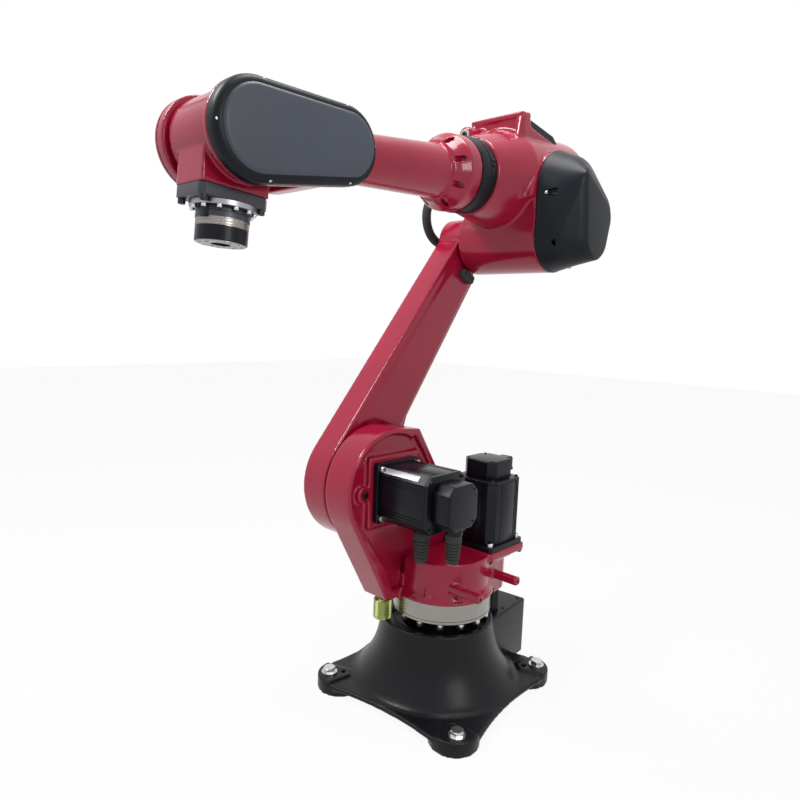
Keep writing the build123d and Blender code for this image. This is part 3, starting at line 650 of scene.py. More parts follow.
def joined(name: str, parts: list[bpy.types.Object]) -> bpy.types.Object:
    """One object from several.

    Args:
        name: Name of the piece.
        parts: The objects, which are used up.

    Returns:
        The new object.
    """
    form = bmesh.new()
    for part in parts:
        form.from_mesh(part.data)
        bpy.data.objects.remove(part)
    return link(name, meshed(name, form))


def cut(
    obj: bpy.types.Object, tools: list[bpy.types.Object], angle: float = SHARP
) -> bpy.types.Object:
    """Takes shapes out of an object.

    Args:
        obj: The object to cut.
        tools: The shapes to take out, which are used up.
        angle: Edges sharper than this many degrees stay sharp.

    Returns:
        The same object.
    """
    tool = joined("cutter", tools)
    take = obj.modifiers.new("cut", "BOOLEAN")
    take.operation = "DIFFERENCE"
    take.solver = "EXACT"
    take.use_self = True
    take.object = tool
    baked(obj, angle)
    bpy.data.objects.remove(tool)
    return obj


def cast(
    name: str,
    node: str,
    lumps: list[bpy.types.Object],
    grain: float,
    smooth: int = 6,
    keep: float = 0.35,
    bites: tuple[bpy.types.Object, ...] = (),
) -> bpy.types.Object:
    """Casting with soft corners: the CAD shape and its lumps grown into one skin.

    Args:
        name: Name of the piece.
        node: CAD node whose shape it starts from and which it replaces.
        lumps: Closed shapes that grow out of it; they are used up.
        grain: Voxel size in millimetres.
        smooth: Rounds of smoothing that soften the corners.
        keep: Share of the faces that are kept.
        bites: Shapes taken out before the corners are softened.

    Returns:
        The new object.
    """
    form = bmesh.new()
    form.from_mesh(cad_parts[node].data)
    bmesh.ops.remove_doubles(form, verts=form.verts, dist=WELD)
    for lump in lumps:
        form.from_mesh(lump.data)
        bpy.data.objects.remove(lump)
    obj = link(name, meshed(name, form))
    skin_over = obj.modifiers.new("skin", "REMESH")
    skin_over.mode = "VOXEL"
    skin_over.voxel_size = grain * MM
    baked(obj)
    if bites:
        cut(obj, list(bites))
    soften = obj.modifiers.new("soften", "SMOOTH")
    soften.factor = 0.5
    soften.iterations = smooth
    thin = obj.modifiers.new("thin", "DECIMATE")
    thin.ratio = keep
    baked(obj, CAST_SHARP)
    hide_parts(node)
    return obj


def head_shape(kind: Head) -> bpy.types.Object:
    """Screw head of unit radius and height that stands on its seat.

    Args:
        kind: Kind of head.

    Returns:
        The new object.
    """
    rings = []
    for radius, z, flats in HEAD_RINGS[kind]:
        ring = []
        for i in range(HEAD_STEPS):
            turn = math.tau * i / HEAD_STEPS
            off = (turn + SIXTH) % (2 * SIXTH) - SIXTH
            reach = radius * ((1 - flats) + flats * math.cos(SIXTH) / math.cos(off))
            ring.append(Vector((reach * math.cos(turn), reach * math.sin(turn), z)) / MM)
        rings.append(ring)
    return skin(f"head_{kind.value}", rings, Place(UP * 0, FORWARD, UP))


class Fasteners:
    """Rows of screws set out by a node tree and turned into one mesh each."""

    def __init__(self) -> None:
        """Builds the node tree that stands a head on every point."""
        tree = bpy.data.node_groups.new("screw_rows", "GeometryNodeTree")
        kinds = {
            "Geometry": "NodeSocketGeometry",
            "Head": "NodeSocketObject",
            "Head radius": "NodeSocketFloat",
            "Head height": "NodeSocketFloat",
            "Finish": "NodeSocketMaterial",
        }
        self.inputs = {
            name: tree.interface.new_socket(name, in_out="INPUT", socket_type=kind).identifier
            for name, kind in kinds.items()
        }
        tree.interface.new_socket("Geometry", in_out="OUTPUT", socket_type="NodeSocketGeometry")
        nodes, links = tree.nodes, tree.links
        start, end = nodes.new("NodeGroupInput"), nodes.new("NodeGroupOutput")
        info = nodes.new("GeometryNodeObjectInfo")
        size = nodes.new("ShaderNodeCombineXYZ")
        facing = nodes.new("GeometryNodeInputNamedAttribute")
        facing.data_type = "FLOAT_VECTOR"
        facing.inputs["Name"].default_value = "facing"
        turn = nodes.new("FunctionNodeAlignRotationToVector")
        turn.axis = "Z"
        stand = nodes.new("GeometryNodeInstanceOnPoints")
        real = nodes.new("GeometryNodeRealizeInstances")
        paint = nodes.new("GeometryNodeSetMaterial")
        for source, give, target, take in (
            (start, "Head", info, "Object"),
            (start, "Head radius", size, "X"),
            (start, "Head radius", size, "Y"),
            (start, "Head height", size, "Z"),
            (facing, "Attribute", turn, "Vector"),
            (start, "Geometry", stand, "Points"),
            (info, "Geometry", stand, "Instance"),
            (turn, "Rotation", stand, "Rotation"),
            (size, "Vector", stand, "Scale"),
            (stand, "Instances", real, "Geometry"),
            (real, "Geometry", paint, "Geometry"),
            (start, "Finish", paint, "Material"),
            (paint, "Geometry", end, "Geometry"),
        ):
            links.new(source.outputs[give], target.inputs[take])
        self.tree = tree
        self.heads = {kind: head_shape(kind) for kind in Head}

    def row(
        self,
        name: str,
        kind: Head,
        radius: float,
        height: float,
        seats: list[Seat],
        finish: Finish,
        body: Body,
    ) -> None:
        """Sets a head on every seat.

        Args:
            name: Name of the piece.
            kind: Kind of head.
            radius: Head radius in millimetres.
            height: Head height in millimetres.
            seats: Point and facing of each head, in the arm's frame.
            finish: Finish of the heads.
            body: Body they ride on.
        """
        points = bpy.data.meshes.new(name)
        points.from_pydata([tuple(seat * MM) for seat, _ in seats], [], [])
        ways = points.attributes.new("facing", "FLOAT_VECTOR", "POINT")
        for i, (_, way) in enumerate(seats):
            ways.data[i].vector = way
        obj = link(name, points)
        setting = obj.modifiers.new("heads", "NODES")
        setting.node_group = self.tree
        setting[self.inputs["Head"]] = self.heads[kind]
        setting[self.inputs["Head radius"]] = radius * MM
        setting[self.inputs["Head height"]] = height * MM
        setting[self.inputs["Finish"]] = finish.material()
        baked(obj)
        finished(obj, finish, body)

    def clear(self) -> None:
        """Removes the head shapes that the rows were set from."""
        for head in self.heads.values():
            bpy.data.objects.remove(head)


def finished(obj: bpy.types.Object, finish: Finish, body: Body, *nodes: str) -> bpy.types.Object:
    """Dresses a piece and hands it to the body it rides on.

    Args:
        obj: The piece.
        finish: Its finish.
        body: The body it rides on.
        nodes: CAD nodes that it stands for.

    Returns:
        The piece.
    """
    obj.data.materials.clear()
    obj.data.materials.append(finish.material())
    if nodes:
        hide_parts(*nodes)
    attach(obj, body.value)
    LOG.info("%s rides on %s, %d faces", obj.name, body.value, len(obj.data.polygons))
    return obj


def dressed(node: str, finish: Finish) -> None:
    """Gives a CAD node that is shown as it is its finish.

    Args:
        node: Name of the node.
        finish: The finish.
    """
    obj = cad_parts[node]
    obj.data.materials.clear()
    obj.data.materials.append(finish.material())
    LOG.info("%s keeps its CAD shape", node)


def spots(place: Place, points: list[Point], z: float = 0.0, flip: bool = False) -> list[Seat]:
    """Seats at local points of a frame.

    Args:
        place: The frame.
        points: Local x and y of each.
        z: Local height of them all.
        flip: Whether they face against the frame.

    Returns:
        Point and facing of each seat.
    """
    way = -place.facing if flip else place.facing
    return [(place.at(x, y, z), way) for x, y in points]


def circle_points(radius: float, count: int, start: float = 0.0) -> list[Point]:
    """Points spread evenly on a circle.

    Args:
        radius: Radius of the circle.
        count: How many points.
        start: Angle of the first in degrees.

    Returns:
        The points.
    """
    turns = (math.radians(start + 360.0 * i / count) for i in range(count))
    return [(radius * math.cos(a), radius * math.sin(a)) for a in turns]


def square_points(half_x: float, half_y: float) -> list[Point]:
    """Corners of a rectangle about the middle of a frame.

    Args:
        half_x: Half its size along x.
        half_y: Half its size along y.

    Returns:
        The four points.
    """
    return [(i * half_x, j * half_y) for i in SIGNS for j in SIGNS]


@dataclass
class Pedestal:
    """Footed base casting, its cable box and the steel ring on top."""

    screws: Fasteners
    foot_pitch: float = 340.0
    foot_shift: float = 15.0
    jack_inset: float = 32.0
    pad_top: float = 31.0
    trumpet_at: Point = (9.0, -5.0)
    bead_r: float = 186.0
    bead: float = 2.2
    bead_z: float = 27.0
    box_back: float = -238.0
    box_front: float = -70.0
    lid_x: Point = (-224.0, -150.0)
    box_half: float = 92.0
    box_top: float = 144.0
    ring_r: float = 110.0
    ring_bore: float = 86.0
    ring_low: float = 181.0
    ring_high: float = 226.0
    ring_screw_r: float = 99.0

    def feet(self, pitch: float) -> list[Point]:
        """Four points of a square about the foot pattern's centre."""
        return [(self.foot_shift + x, y) for x, y in square_points(pitch / 2, pitch / 2)]

    def casting(self) -> None:
        """The black casting, with its bead, lip and jacking holes."""
        middle = LAYOUT.level().moved(*self.trumpet_at)
        r, b = self.bead_r, self.bead
        section = tuple((r + b * x, self.bead_z + b * y) for x, y in circle_points(1.0, 10))
        bead = ring_lathe("bead", section, middle)
        outline = ((113.0, 158), (125.0, 158), (126.5, 161), (124.5, 164.5), (113.0, 164.5))
        lip = ring_lathe("lip", outline, middle)
        obj = cast("base_body", "base_casting", [bead, lip], 3.0, smooth=4, keep=0.32)
        jacks = self.feet(self.foot_pitch - self.jack_inset * math.sqrt(2))
        bore = ((5.2, 8), (5.2, 31), (6.6, 32.5), (6.6, 40))
        place = LAYOUT.base()
        holes = [lathe("hole", bore, place.moved(x, y), 24) for x, y in jacks]
        cut(obj, holes, CAST_SHARP)
        finished(obj, BLACK_PAINT, Body.BASE)

    def ring(self) -> None:
        """Steel ring with a groove round it."""
        r, b, low, high = self.ring_r, self.ring_bore, self.ring_low, self.ring_high
        groove = ((r, low + 8), (r - 1.2, low + 8.6), (r - 1.2, low + 9.8), (r, low + 10.4))
        top = ((r, high - 1.2), (r - 1.2, high), (b, high))
        profile = ((b, low), (r - 3, low), (r, low + 3), *groove, *top)
        ring = ring_lathe("steel_ring", profile, LAYOUT.level())
        finished(ring, STEEL, Body.BASE, "waist_reducer_ring")

    def fastenings(self) -> None:
        """Foot bolts, ring screws and the screws of the cable box."""
        place = LAYOUT.base()
        feet = spots(place, self.feet(self.foot_pitch), self.pad_top)
        self.screws.row("foot_bolts", Head.HEX, 13.9, 12.5, feet, SCREW, Body.BASE)
        round_ring = circle_points(self.ring_screw_r, 14, 12.5)
        under = spots(LAYOUT.level(), round_ring, self.ring_low, flip=True)
        self.screws.row("ring_screws", Head.CAP, 8.5, 12.0, under, SCREW, Body.BASE)
        lid = spots(place, [(x, y) for x in self.lid_x for y in (-78.0, 78.0)], self.box_top)
        self.screws.row("box_lid_screws", Head.PAN, 4.6, 2.6, lid, DARK_SCREW, Body.BASE)
        panel = spots(self.panel(), square_points(42.0, 31.0))
        self.screws.row("panel_screws", Head.PAN, 3.6, 2.2, panel, SCREW, Body.BASE)

    def panel(self) -> Place:
        """Frame on the rear panel that faces back."""
        place = LAYOUT.base()
        middle = place.at(self.box_back - 4, 0, 82)
        return Place(middle, -place.facing.cross(place.across), -place.across)

    def sockets(self) -> None:
        """Heavy connectors on the rear panel: hoods with locking levers."""
        for i, x in enumerate((-23.0, 23.0)):
            here = self.panel().moved(x)
            hood = slab(f"socket_hood_{i}", corners(36, 52, 4), here, 0, 18, edge=2.0, steps=64)
            face = slab(f"socket_face_{i}", corners(28, 44, 2), here, 18, 24, edge=0.8, steps=64)
            bar = here.moved(0, 15)
            strap = corners(35.6, 9, 3)
            lever = slab(f"socket_lever_{i}", strap, bar, 17, 20.5, edge=1.0, steps=48)
            finished(hood, GREY, Body.BASE, *(("rear_sockets",) if i == 0 else ()))
            finished(face, BLACK_COVER, Body.BASE)
            finished(lever, ALUMINIUM, Body.BASE)

    def build(self) -> None:
        """Builds the whole pedestal."""
        self.casting()
        self.ring()
        self.fastenings()
        self.sockets()
        back, front = self.box_back, self.box_front
        outline = corners(front - back, 2 * self.box_half, 6, (back + front) / 2)
        shell = slab("cable_box", outline, LAYOUT.base(), 8.0, self.box_top, edge=5.0, foot=1.0)
        finished(shell, BLACK_PAINT, Body.BASE, "base_cable_box")
        dressed("rear_connector_panel", ALUMINIUM)


@dataclass
class ServoMotor:
    """Square servo motor with an encoder cap, standing on its flange."""

    screws: Fasteners
    name: str
    place: Place
    length: float
    encoder: float
    flange: float = 126.0
    flange_thick: float = 12.0
    body: float = 116.0
    chamfer: float = 16.0
    screw_pitch: float = 102.0
    encoder_size: float = 88.0

    def outline(self) -> list[Point]:
        """Cut-cornered square with three slits beside every corner.

        Returns:
            The corners of the outline in order.
        """
        half, cut_in = self.body / 2, self.chamfer
        run = [half - cut_in - 3 - 6 * k for k in range(3)]
        edge: list[Point] = [(half, -half + cut_in)]
        for y in (*(-v for v in run), *reversed(run)):
            low, high, floor = y - 0.9, y + 0.9, half - 1.6
            edge += [(half, low), (floor, low), (floor, high), (half, high)]
        edge.append((half, half - cut_in))
        points: list[Point] = []
        for quarter in range(4):
            turn = math.radians(90 * quarter)
            c, s = round(math.cos(turn)), round(math.sin(turn))
            points += [(x * c - y * s, x * s + y * c) for x, y in edge]
        return points

    def build(self) -> None:
        """Builds the flange, body, encoder and screws."""
        n, at, end, top = self.name, self.place, self.length, self.flange_thick
        flange = slab(f"{n}_flange", corners(self.flange, self.flange, 8), at, 0, top, edge=1.4)
        barrel = prism(f"{n}_barrel", self.outline(), at, top, end - 7, edge=0.35)
        rim = chamfered(self.body, self.body, self.chamfer)
        bell = slab(f"{n}_end_bell", rim, at, end - 6.2, end, edge=1.6)
        body = joined(f"{n}_body_shell", [flange, barrel, bell])
        shaded(body.data)
        finished(body, MOTOR, Body.TURRET, f"{n}_motor_body")
        size, back = self.encoder_size, end + self.encoder
        seat = slab(f"{n}_seat", chamfered(size - 4, size - 4, 18), at, end, end + 3, edge=0.3)
        outline = chamfered(size, size, 18, 4.0)
        cap = slab(f"{n}_cap", outline, at, end + 2.4, back, edge=4.0, foot=0.8)
        shell = joined(f"{n}_encoder_shell", [seat, cap])
        shaded(shell.data)
        finished(shell, MOTOR, Body.TURRET, f"{n}_motor_encoder")
        for name, kind, half, z, radius, height, finish in (
            ("flange", Head.CAP, self.screw_pitch / 2, top, 7.0, 7.5, SCREW),
            ("cap", Head.CAP, size / 2 - 12, back - 0.2, 2.6, 1.6, DARK_SCREW),
            ("bell", Head.CAP, 47.0, end, 3.6, 3.0, DARK_SCREW),
        ):
            seats = spots(at, square_points(half, half), z)
            self.screws.row(f"{n}_{name}_screws", kind, radius, height, seats, finish, Body.TURRET)


@dataclass
class Connector:
    """Round plug on a motor with a ribbed rubber boot that tapers away from it."""

    name: str
    place: Place
    seat: float = 17.5
    depth: float = 16.0
    boot: float = 17.5
    tip: float = 13.0
    reach: float = 62.0
    ribs: int = 6

    def boot_profile(self) -> tuple[Point, ...]:
        """Radius and height down the boot, rib by rib.

        Returns:
            The profile from the plug to the tip.
        """
        run = [(0.0, self.depth), (self.boot, self.depth), (self.boot + 0.5, self.depth + 14)]
        pitch = (self.reach - 20) / self.ribs
        for k in range(self.ribs):
            z = self.depth + 16 + k * pitch
            r = self.boot + (self.tip - self.boot) * (k + 0.5) / self.ribs
            valley, crest = r - 1.6, r + 0.6
            run += [(valley, z), (crest, z + pitch * 0.25)]
            run += [(crest, z + pitch * 0.6), (valley, z + pitch * 0.85)]
        return (*run, (self.tip - 1.5, self.depth + self.reach), (0.0, self.depth + self.reach))

    def build(self, *nodes: str) -> None:
        """Builds the plug's square foot, its nut and the boot."""
        foot = slab(f"{self.name}_foot", corners(35, 31, 4), self.place, 0, 6, edge=1.2, steps=48)
        r, end = self.seat, self.depth
        profile = ((0, 5), (r, 5), (r + 0.8, 7), (r + 0.8, end - 1), (r - 1, end), (0, end))
        nut = lathe(f"{self.name}_nut", profile, self.place, 48)
        boot = lathe(f"{self.name}_boot", self.boot_profile(), self.place, 48)
        finished(joined(f"{self.name}_plug", [foot, nut]), MOTOR, Body.TURRET)
        finished(boot, RUBBER, Body.TURRET, *nodes)


@dataclass
class Turret:
    """Turning column with the shoulder disc, both motors and the waist stop."""

    screws: Fasteners
    face_y: float = -29.0
    waist_motor: Point = (-105.0, 36.0)
    plate_top: float = 315.0
    plate_thick: float = 18.0
    nut_half: float = 58.0
    bars_x: Point = (66.0, -70.0)
    bar_end: float = 155.0
    bar_z: float = 262.0
    pin_at: Point = (124.5, -66.2)
    waist_plugs: tuple[Triple, ...] = ((-163.0, 438.0, 66.0), (-149.0, 493.0, 52.0))

    def casting(self) -> None:
        """Red casting with ledges, gussets and the holes of the hose bars."""
        axis = LAYOUT.level()
        rim = ((90, 228), (111, 228), (110, 236), (106, 243), (90, 246))
        lumps = [ring_lathe("ledge", rim, axis)]
        for angle in (22.0, 62.0):
            way = Vector((math.cos(math.radians(angle)), math.sin(math.radians(angle)), 0))
            sideways = Place(UP * 0, way, way.cross(UP))
            outline = [(96, 238), (112, 238), (100, 292), (96, 300)]
            lumps.append(prism("gusset", outline, sideways, -5, 5, 0.5))
        pedestal = axis.moved(*self.waist_motor)
        lumps.append(slab("collar", corners(112, 112, 30), pedestal, 286, 299, edge=2, foot=8))
        bites = (self.ring_seat(), self.web_sink())
        obj = cast("turret_body", "turret_casting", lumps, 2.6, smooth=5, keep=0.3, bites=bites)
        bore = ((3.5, -18), (3.5, -0.8), (4.6, 1.2), (4.6, 4))
        ends = [LAYOUT.upright(x, self.bar_end, self.bar_z) for x in self.bars_x]
        cut(obj, [lathe("hole", bore, end, 24) for end in ends], CAST_SHARP)
        finished(obj, RED, Body.TURRET)

    def ring_seat(self) -> bpy.types.Object:
        """The room that the steel ring shows through, on the side that is seen.

        Returns:
            The shape to take out.
        """
        first, whole, steps = -13, 206, 60
        sweep = [math.radians(first + whole * k / steps) for k in range(steps + 1)]
        arc = [(118 * math.cos(a), 118 * math.sin(a)) for a in sweep]
        arc += [(60 * math.cos(a), 60 * math.sin(a)) for a in reversed(sweep)]
        return prism("seat", arc, LAYOUT.level(), 204, 226.3, 0.1)

    def web_sink(self) -> bpy.types.Object:
        """The hollow in the near face of the web."""
        front = [(103.0, 242.0), (133.0, 242.0), (151.0, 280.0), (120.0, 300.0), (103.0, 290.0)]
        return prism("sink", front, Place(UP * 0, FORWARD, -LEFT), 20.0, 41.0, 0.5)

    def fastenings(self) -> None:
        """The plug beside the shoulder disc and the nuts under the waist motor's plate."""
        spot = LAYOUT.upright(LAYOUT.shoulder_x, self.face_y, LAYOUT.shoulder_z).moved(-86.0)
        plug = spots(spot, [(0.0, 0.0)], -1.0)
        self.screws.row("bearing_plug", Head.CAP, 7.5, 5.0, plug, DARK_SCREW, Body.TURRET)
        half = self.nut_half
        plate = [(half, half), (-half, half), (half, -half), (-half, -half)]
        pedestal = LAYOUT.level().moved(*self.waist_motor)
        under = spots(pedestal, plate, self.plate_top - self.plate_thick, flip=True)
        self.screws.row("plate_nuts", Head.HEX, 6.0, 5.5, under, DARK_SCREW, Body.TURRET)

    def motors(self) -> None:
        """Both servo motors with their connectors, and a painted highlight strip on the shoulder
        motor's upper chamfer.
        """
        x, z = LAYOUT.shoulder_x, LAYOUT.shoulder_z
        level = LAYOUT.upright(x, self.face_y, z)
        ServoMotor(self.screws, "shoulder", level, 140.0, 44.0).build()
        upright = LAYOUT.level(self.plate_top).moved(*self.waist_motor)
        ServoMotor(self.screws, "waist", upright, 157.0, 42.0).build()
        near = Place(Vector((x, self.face_y + 80.0, z - 58.0)), FORWARD, -UP)
        Connector("shoulder_power", near).build("shoulder_motor_connectors")
        far = Place(Vector((x, self.face_y + 162.0, z - 44.0)), FORWARD, -UP)
        Connector("shoulder_signal", far, 16.5, 14.0, 16.0, 12.0, 58.0).build()
        y = self.waist_motor[1]
        for i, (start, height, reach) in enumerate(self.waist_plugs):
            side = Place(Vector((start, y, height)), LEFT, -FORWARD)
            block = slab(f"waist_elbow_{i}", corners(32, 32, 6), side, 0, 36, edge=5, steps=64)
            finished(block, MOTOR, Body.TURRET)
            hang = Place(Vector((start - 20.0, y, height - 10.0)), LEFT, -UP)
            nodes = ("waist_motor_connectors",) if i == 0 else ()
            Connector(f"waist_plug_{i}", hang, 14.5, 12.0, 13.5, 9.0, reach).build(*nodes)
        # Thin bright aluminium strip along the shoulder motor's upper chamfer: a painted highlight
        # that stands in for light falling on the black chamfer.
        slope = Vector((0.7071, 0, 0.7071))
        strip = Place(Vector((x + 50.2, self.face_y + 66.0, z + 50.2)), LEFT, slope)
        chamfer_highlight = slab("shoulder_bare_strip", corners(92, 13, 1), strip, -0.4, 0.5, 0.2, steps=32)
        finished(chamfer_highlight, ALUMINIUM, Body.TURRET)

    def stop(self) -> None:
        """Steel pin under the web in its soft sleeve."""
        bore, low, high = 10.2, 168.0, 210.8
        wall = ((18.6, low), (19.8, low + 1.4), (19.8, high - 1.4), (18.6, high))
        profile = ((bore, low), *wall, (bore, high))
        sleeve = ring_lathe("stop_sleeve", profile, LAYOUT.level().moved(*self.pin_at), 64)
        finished(sleeve, URETHANE, Body.TURRET, "waist_stop_sleeve")
        dressed("waist_stop_pin", STEEL)

    def build(self) -> None:
        """Builds the whole turret."""
        self.casting()
        self.fastenings()
        self.motors()
        self.stop()
        dressed("shoulder_reducer_disc", STEEL)


@dataclass
class UpperArm:
    """Leaning casting between the shoulder and elbow axes."""

    screws: Fasteners
    inner: float = -108.0
    outer: float = -176.0
    foot_cap_r: float = 84.0
    head_cap_r: float = 40.0
    hinge_r: float = 78.0
    stop_angle: float = -66.0
    stop_gap: float = 5.0

    def casting(self) -> None:
        """Red casting with a raised pocket rim on both faces and two ears at its foot."""
        place = LAYOUT.arm_side(0.0)
        length = LAYOUT.arm_length
        lumps = []
        near, far = -self.inner, -self.outer
        panel = [(-20, 136), (-43, 575), (30, 585), (98, 90), (66, 120), (22, 134)]
        for low, high in ((near - 2.6, near + 6.0), (far - 6.0, far + 2.6)):
            lumps.append(prism("panel", panel, place, low, high, 1.0))
        stub = ((0, near - 1.5), (12, near - 1.5), (12, 122), (0, 122))
        for x, y in ((16.0, 132.0), (-30.0, 128.0)):
            lumps.append(lathe("ear", stub, place.moved(x, y), 32))
        barrel = ((0, 108), (52, 106.5), (52, 177), (0, 177))
        lumps.append(lathe("eye", barrel, place.moved(0, length), 64))
        obj = cast("upper_arm_body", "upper_arm_casting", lumps, 2.6, smooth=6, keep=0.3)
        finished(obj, RED, Body.UPPER_ARM)

    def caps(self) -> None:
        """Round covers outside the foot and head, with their screws."""
        foot = LAYOUT.arm_side(self.outer)
        r = self.foot_cap_r
        dish = ((r, 0), (r, 6), (r - 4, 9.6), (r - 16, 10), (r - 18, 8.4))
        cap = lathe("foot_cap", ((0, 0), *dish, (0, 8.4)), foot)
        finished(cap, SMOOTH_RED, Body.UPPER_ARM, "arm_foot_cap")
        seats = spots(foot, circle_points(r - 10, 8, 20), 9.6)
        self.screws.row("foot_cap_screws", Head.CAP, 5.0, 4.0, seats, SCREW, Body.UPPER_ARM)
        head = foot.moved(0, LAYOUT.arm_length)
        h = self.head_cap_r
        rim = ((13.5, 0), (h, 0), (h, 7), (h - 3, 10), (16, 10), (13.5, 8))
        finished(ring_lathe("head_cap", rim, head), BLACK_COVER, Body.UPPER_ARM, "arm_head_cap")
        seats = spots(head, circle_points(h - 9, 6), 9.8)
        self.screws.row("head_cap_screws", Head.PAN, 3.4, 2.2, seats, SCREW, Body.UPPER_ARM)

    def bumper(self) -> None:
        """Rubber stop block under the elbow barrel."""
        turn = math.radians(self.stop_angle)
        out = self.hinge_r + self.stop_gap + 10.0
        way = Vector((math.cos(turn), 0, math.sin(turn)))
        middle = LAYOUT.elbow() + way * out + LEFT * (self.inner + 18.0)
        place = Place(middle, (-LEFT).cross(way), -LEFT)
        block = slab("stop_block", corners(46, 20, 5), place, 0.4, 18, edge=1.5, foot=3.0, steps=64)
        finished(block, RUBBER, Body.UPPER_ARM, "elbow_stop_bumper")
        front = Place(place.origin, place.across, -place.facing)
        seats = spots(front, [(-13.0, 0.0), (13.0, 0.0)], -2.4)
        self.screws.row("stop_screws", Head.CAP, 4.5, 3.0, seats, DARK_SCREW, Body.UPPER_ARM)

    def build(self) -> None:
        """Builds the whole upper arm."""
        self.casting()
        self.caps()
        self.bumper()


@dataclass
class Elbow:
    """Elbow housing with its motor cover, plug, collar and cable loop."""

    screws: Fasteners
    cover_foot: tuple[Circle, ...] = ((0.0, 0.0, 78.0), (-21.0, 92.0, 97.0))
    cover_mid: tuple[Circle, ...] = ((-4.0, 2.0, 66.0), (-21.0, 84.0, 84.0))
    cover_face: tuple[Circle, ...] = ((24.0, 114.0, 13.0), (-48.0, 42.0, 44.0), (-30.0, 0.0, 50.0))
    screw_spots: tuple[Point, ...] = (
        (68.0, 84.0), (56.0, -18.0), (-48.0, -62.0), (-104.0, 40.0), (-40.0, 176.0),
    )
    screw_out: float = 126.0
    mid_y: float = 160.0
    face_y: float = 202.0
    collar_r: float = 77.0

    def casting(self) -> None:
        """Red housing with its top pad lip, side gussets and screw bosses."""
        side, foot = LAYOUT.forearm_side(0.0), LAYOUT.elbow_side(0.0)
        lumps = []
        gusset = [(40, 60), (84, 60), (72, 96), (61, 133), (40, 133)]
        for y in (-62.0, 62.0):
            lumps.append(prism("gusset", gusset, side, y - 6, y + 6, 0.5))
        lip = [(30, 126), (63, 126), (63, 135.8), (30, 135.8)]
        lumps.append(prism("lip", lip, side, -69.5, 69.5, 0.5))
        boss = [(60, 74), (98, 74), (76, 132), (60, 132)]
        lumps.append(prism("cover_boss", boss, foot, -107.5, -70.0, 0.5))
        web = [(62, 66), (104, 70), (112, 92), (78, 138), (62, 138)]
        lumps.append(prism("cover_web", web, foot, -92.0, -86.0, 0.5))
        stem = ((0, -70), (18, -60), (18, 0), (0, 0))
        lumps.append(lathe("plug_boss", stem, self.plug_place(), 48))
        rim = slab("cover_rim", self.cover_foot, foot, -107.8, -96.0, edge=1.0, foot=1.0)
        lumps.append(rim)
        obj = cast("elbow_body", "elbow_housing", lumps, 2.7, smooth=5, keep=0.3)
        bore = ((3.4, -14), (3.4, -0.8), (4.4, 0.8), (4.4, 3))
        holes = []
        for y in (-55.0, 55.0):
            pad = Place(side.at(47.0, 136.0, -y), LEFT, side.facing.cross(side.across))
            holes.append(lathe("hole", bore, pad, 24))
        cut(obj, holes, CAST_SHARP)
        finished(obj, RED, Body.ELBOW)

    def plug_place(self) -> Place:
        """Frame on the boss of the filler plug."""
        return LAYOUT.forearm_at(118.0).moved(-44.0, 97.0)

    def plug(self) -> None:
        """Round filler plug with a pale ring and a dark socket."""
        rim = ((7.0, -1), (11.5, -1), (11.5, 2.4), (10.6, 3.4), (8.0, 3.4), (7.0, 2.4))
        finished(ring_lathe("plug_ring", rim, self.plug_place(), 64), PALE, Body.ELBOW)
        top = ((0, -1), (7.2, -1), (7.2, 2.6), (6.2, 3.2), (4.0, 3.2), (3.6, 0.8), (0, 0.8))
        finished(lathe("plug_core", top, self.plug_place(), 48), DARK_SCREW, Body.ELBOW)

    def cover(self) -> None:
        """Black moulded cover that narrows in two steps, with recessed screws."""
        place, steps = LAYOUT.elbow_side(0.0), 144
        foot, mid, face = (self.cover_foot, self.cover_mid, self.cover_face)
        rim = ((108.2, 1.5), (109.6, 0.0), (112.5, 0.0), (114.0, 1.0))
        rings = [hull_ring(foot, inset, -z, steps) for z, inset in rim]
        low = hull_ring(foot, 1.0, -114.0, steps)
        middle = hull_ring(mid, 0.0, -self.mid_y, steps)
        high = hull_ring(face, 0.0, -self.face_y, steps)
        first, last, spans = 0.12, 0.9, 4
        for start, end in ((low, middle), (middle, high)):
            for k in range(spans + 1):
                share = first + (last - first) * k / spans
                rings.append([a.lerp(b, share) for a, b in zip(start, end)])
        for k in range(1, EDGE_STEPS):
            turn = math.radians(EDGE_TURN * k)
            inset = 1.0 + 8.0 * (1 - math.cos(turn))
            z = -self.face_y + 4.2 * (1 - math.sin(turn))
            rings.append(hull_ring(face, inset, z, steps))
        shell = skin("motor_cover", rings, place, CAST_SHARP)
        recess = ((4.8, 0), (5.6, 3), (7.5, 14), (9.5, 26))
        pockets, seats = [], []
        for x, y in self.screw_spots:
            spot = Place(place.at(x, y, -self.screw_out), -FORWARD, LEFT)
            pockets.append(lathe("pocket", recess, spot, 32))
            seats.append((spot.at(0, 0, 0.2), spot.facing))
        cut(shell, pockets, CUT_SHARP)
        finished(shell, BLACK_COVER, Body.ELBOW, "elbow_motor_cover")
        self.screws.row("cover_screws", Head.CAP, 4.4, 5.0, seats, SCREW, Body.ELBOW)

    def collar(self) -> None:
        """Black band between the housing and the forearm."""
        place = LAYOUT.forearm_at(0.0)
        r, bore = self.collar_r, 60.0
        groove = ((r, 186), (r - 1.4, 187), (r - 1.4, 189), (r, 190))
        start, end = ((bore, 168), (r - 1, 168), (r, 170)), ((r, 213), (r - 1, 216), (bore, 216))
        band = ring_lathe("collar_band", (*start, *groove, *end), place)
        finished(band, BLACK_COVER, Body.ELBOW, "forearm_collar")
        middle = place.at(0, 0, 178)
        seats = []
        for turn in (math.radians(8.0), math.radians(16.0)):
            point = place.at(r * math.cos(turn), r * math.sin(turn), 178)
            seats.append((point, (point - middle).normalized()))
        self.screws.row("collar_knobs", Head.PAN, 3.6, 3.4, seats, DARK_SCREW, Body.ELBOW)

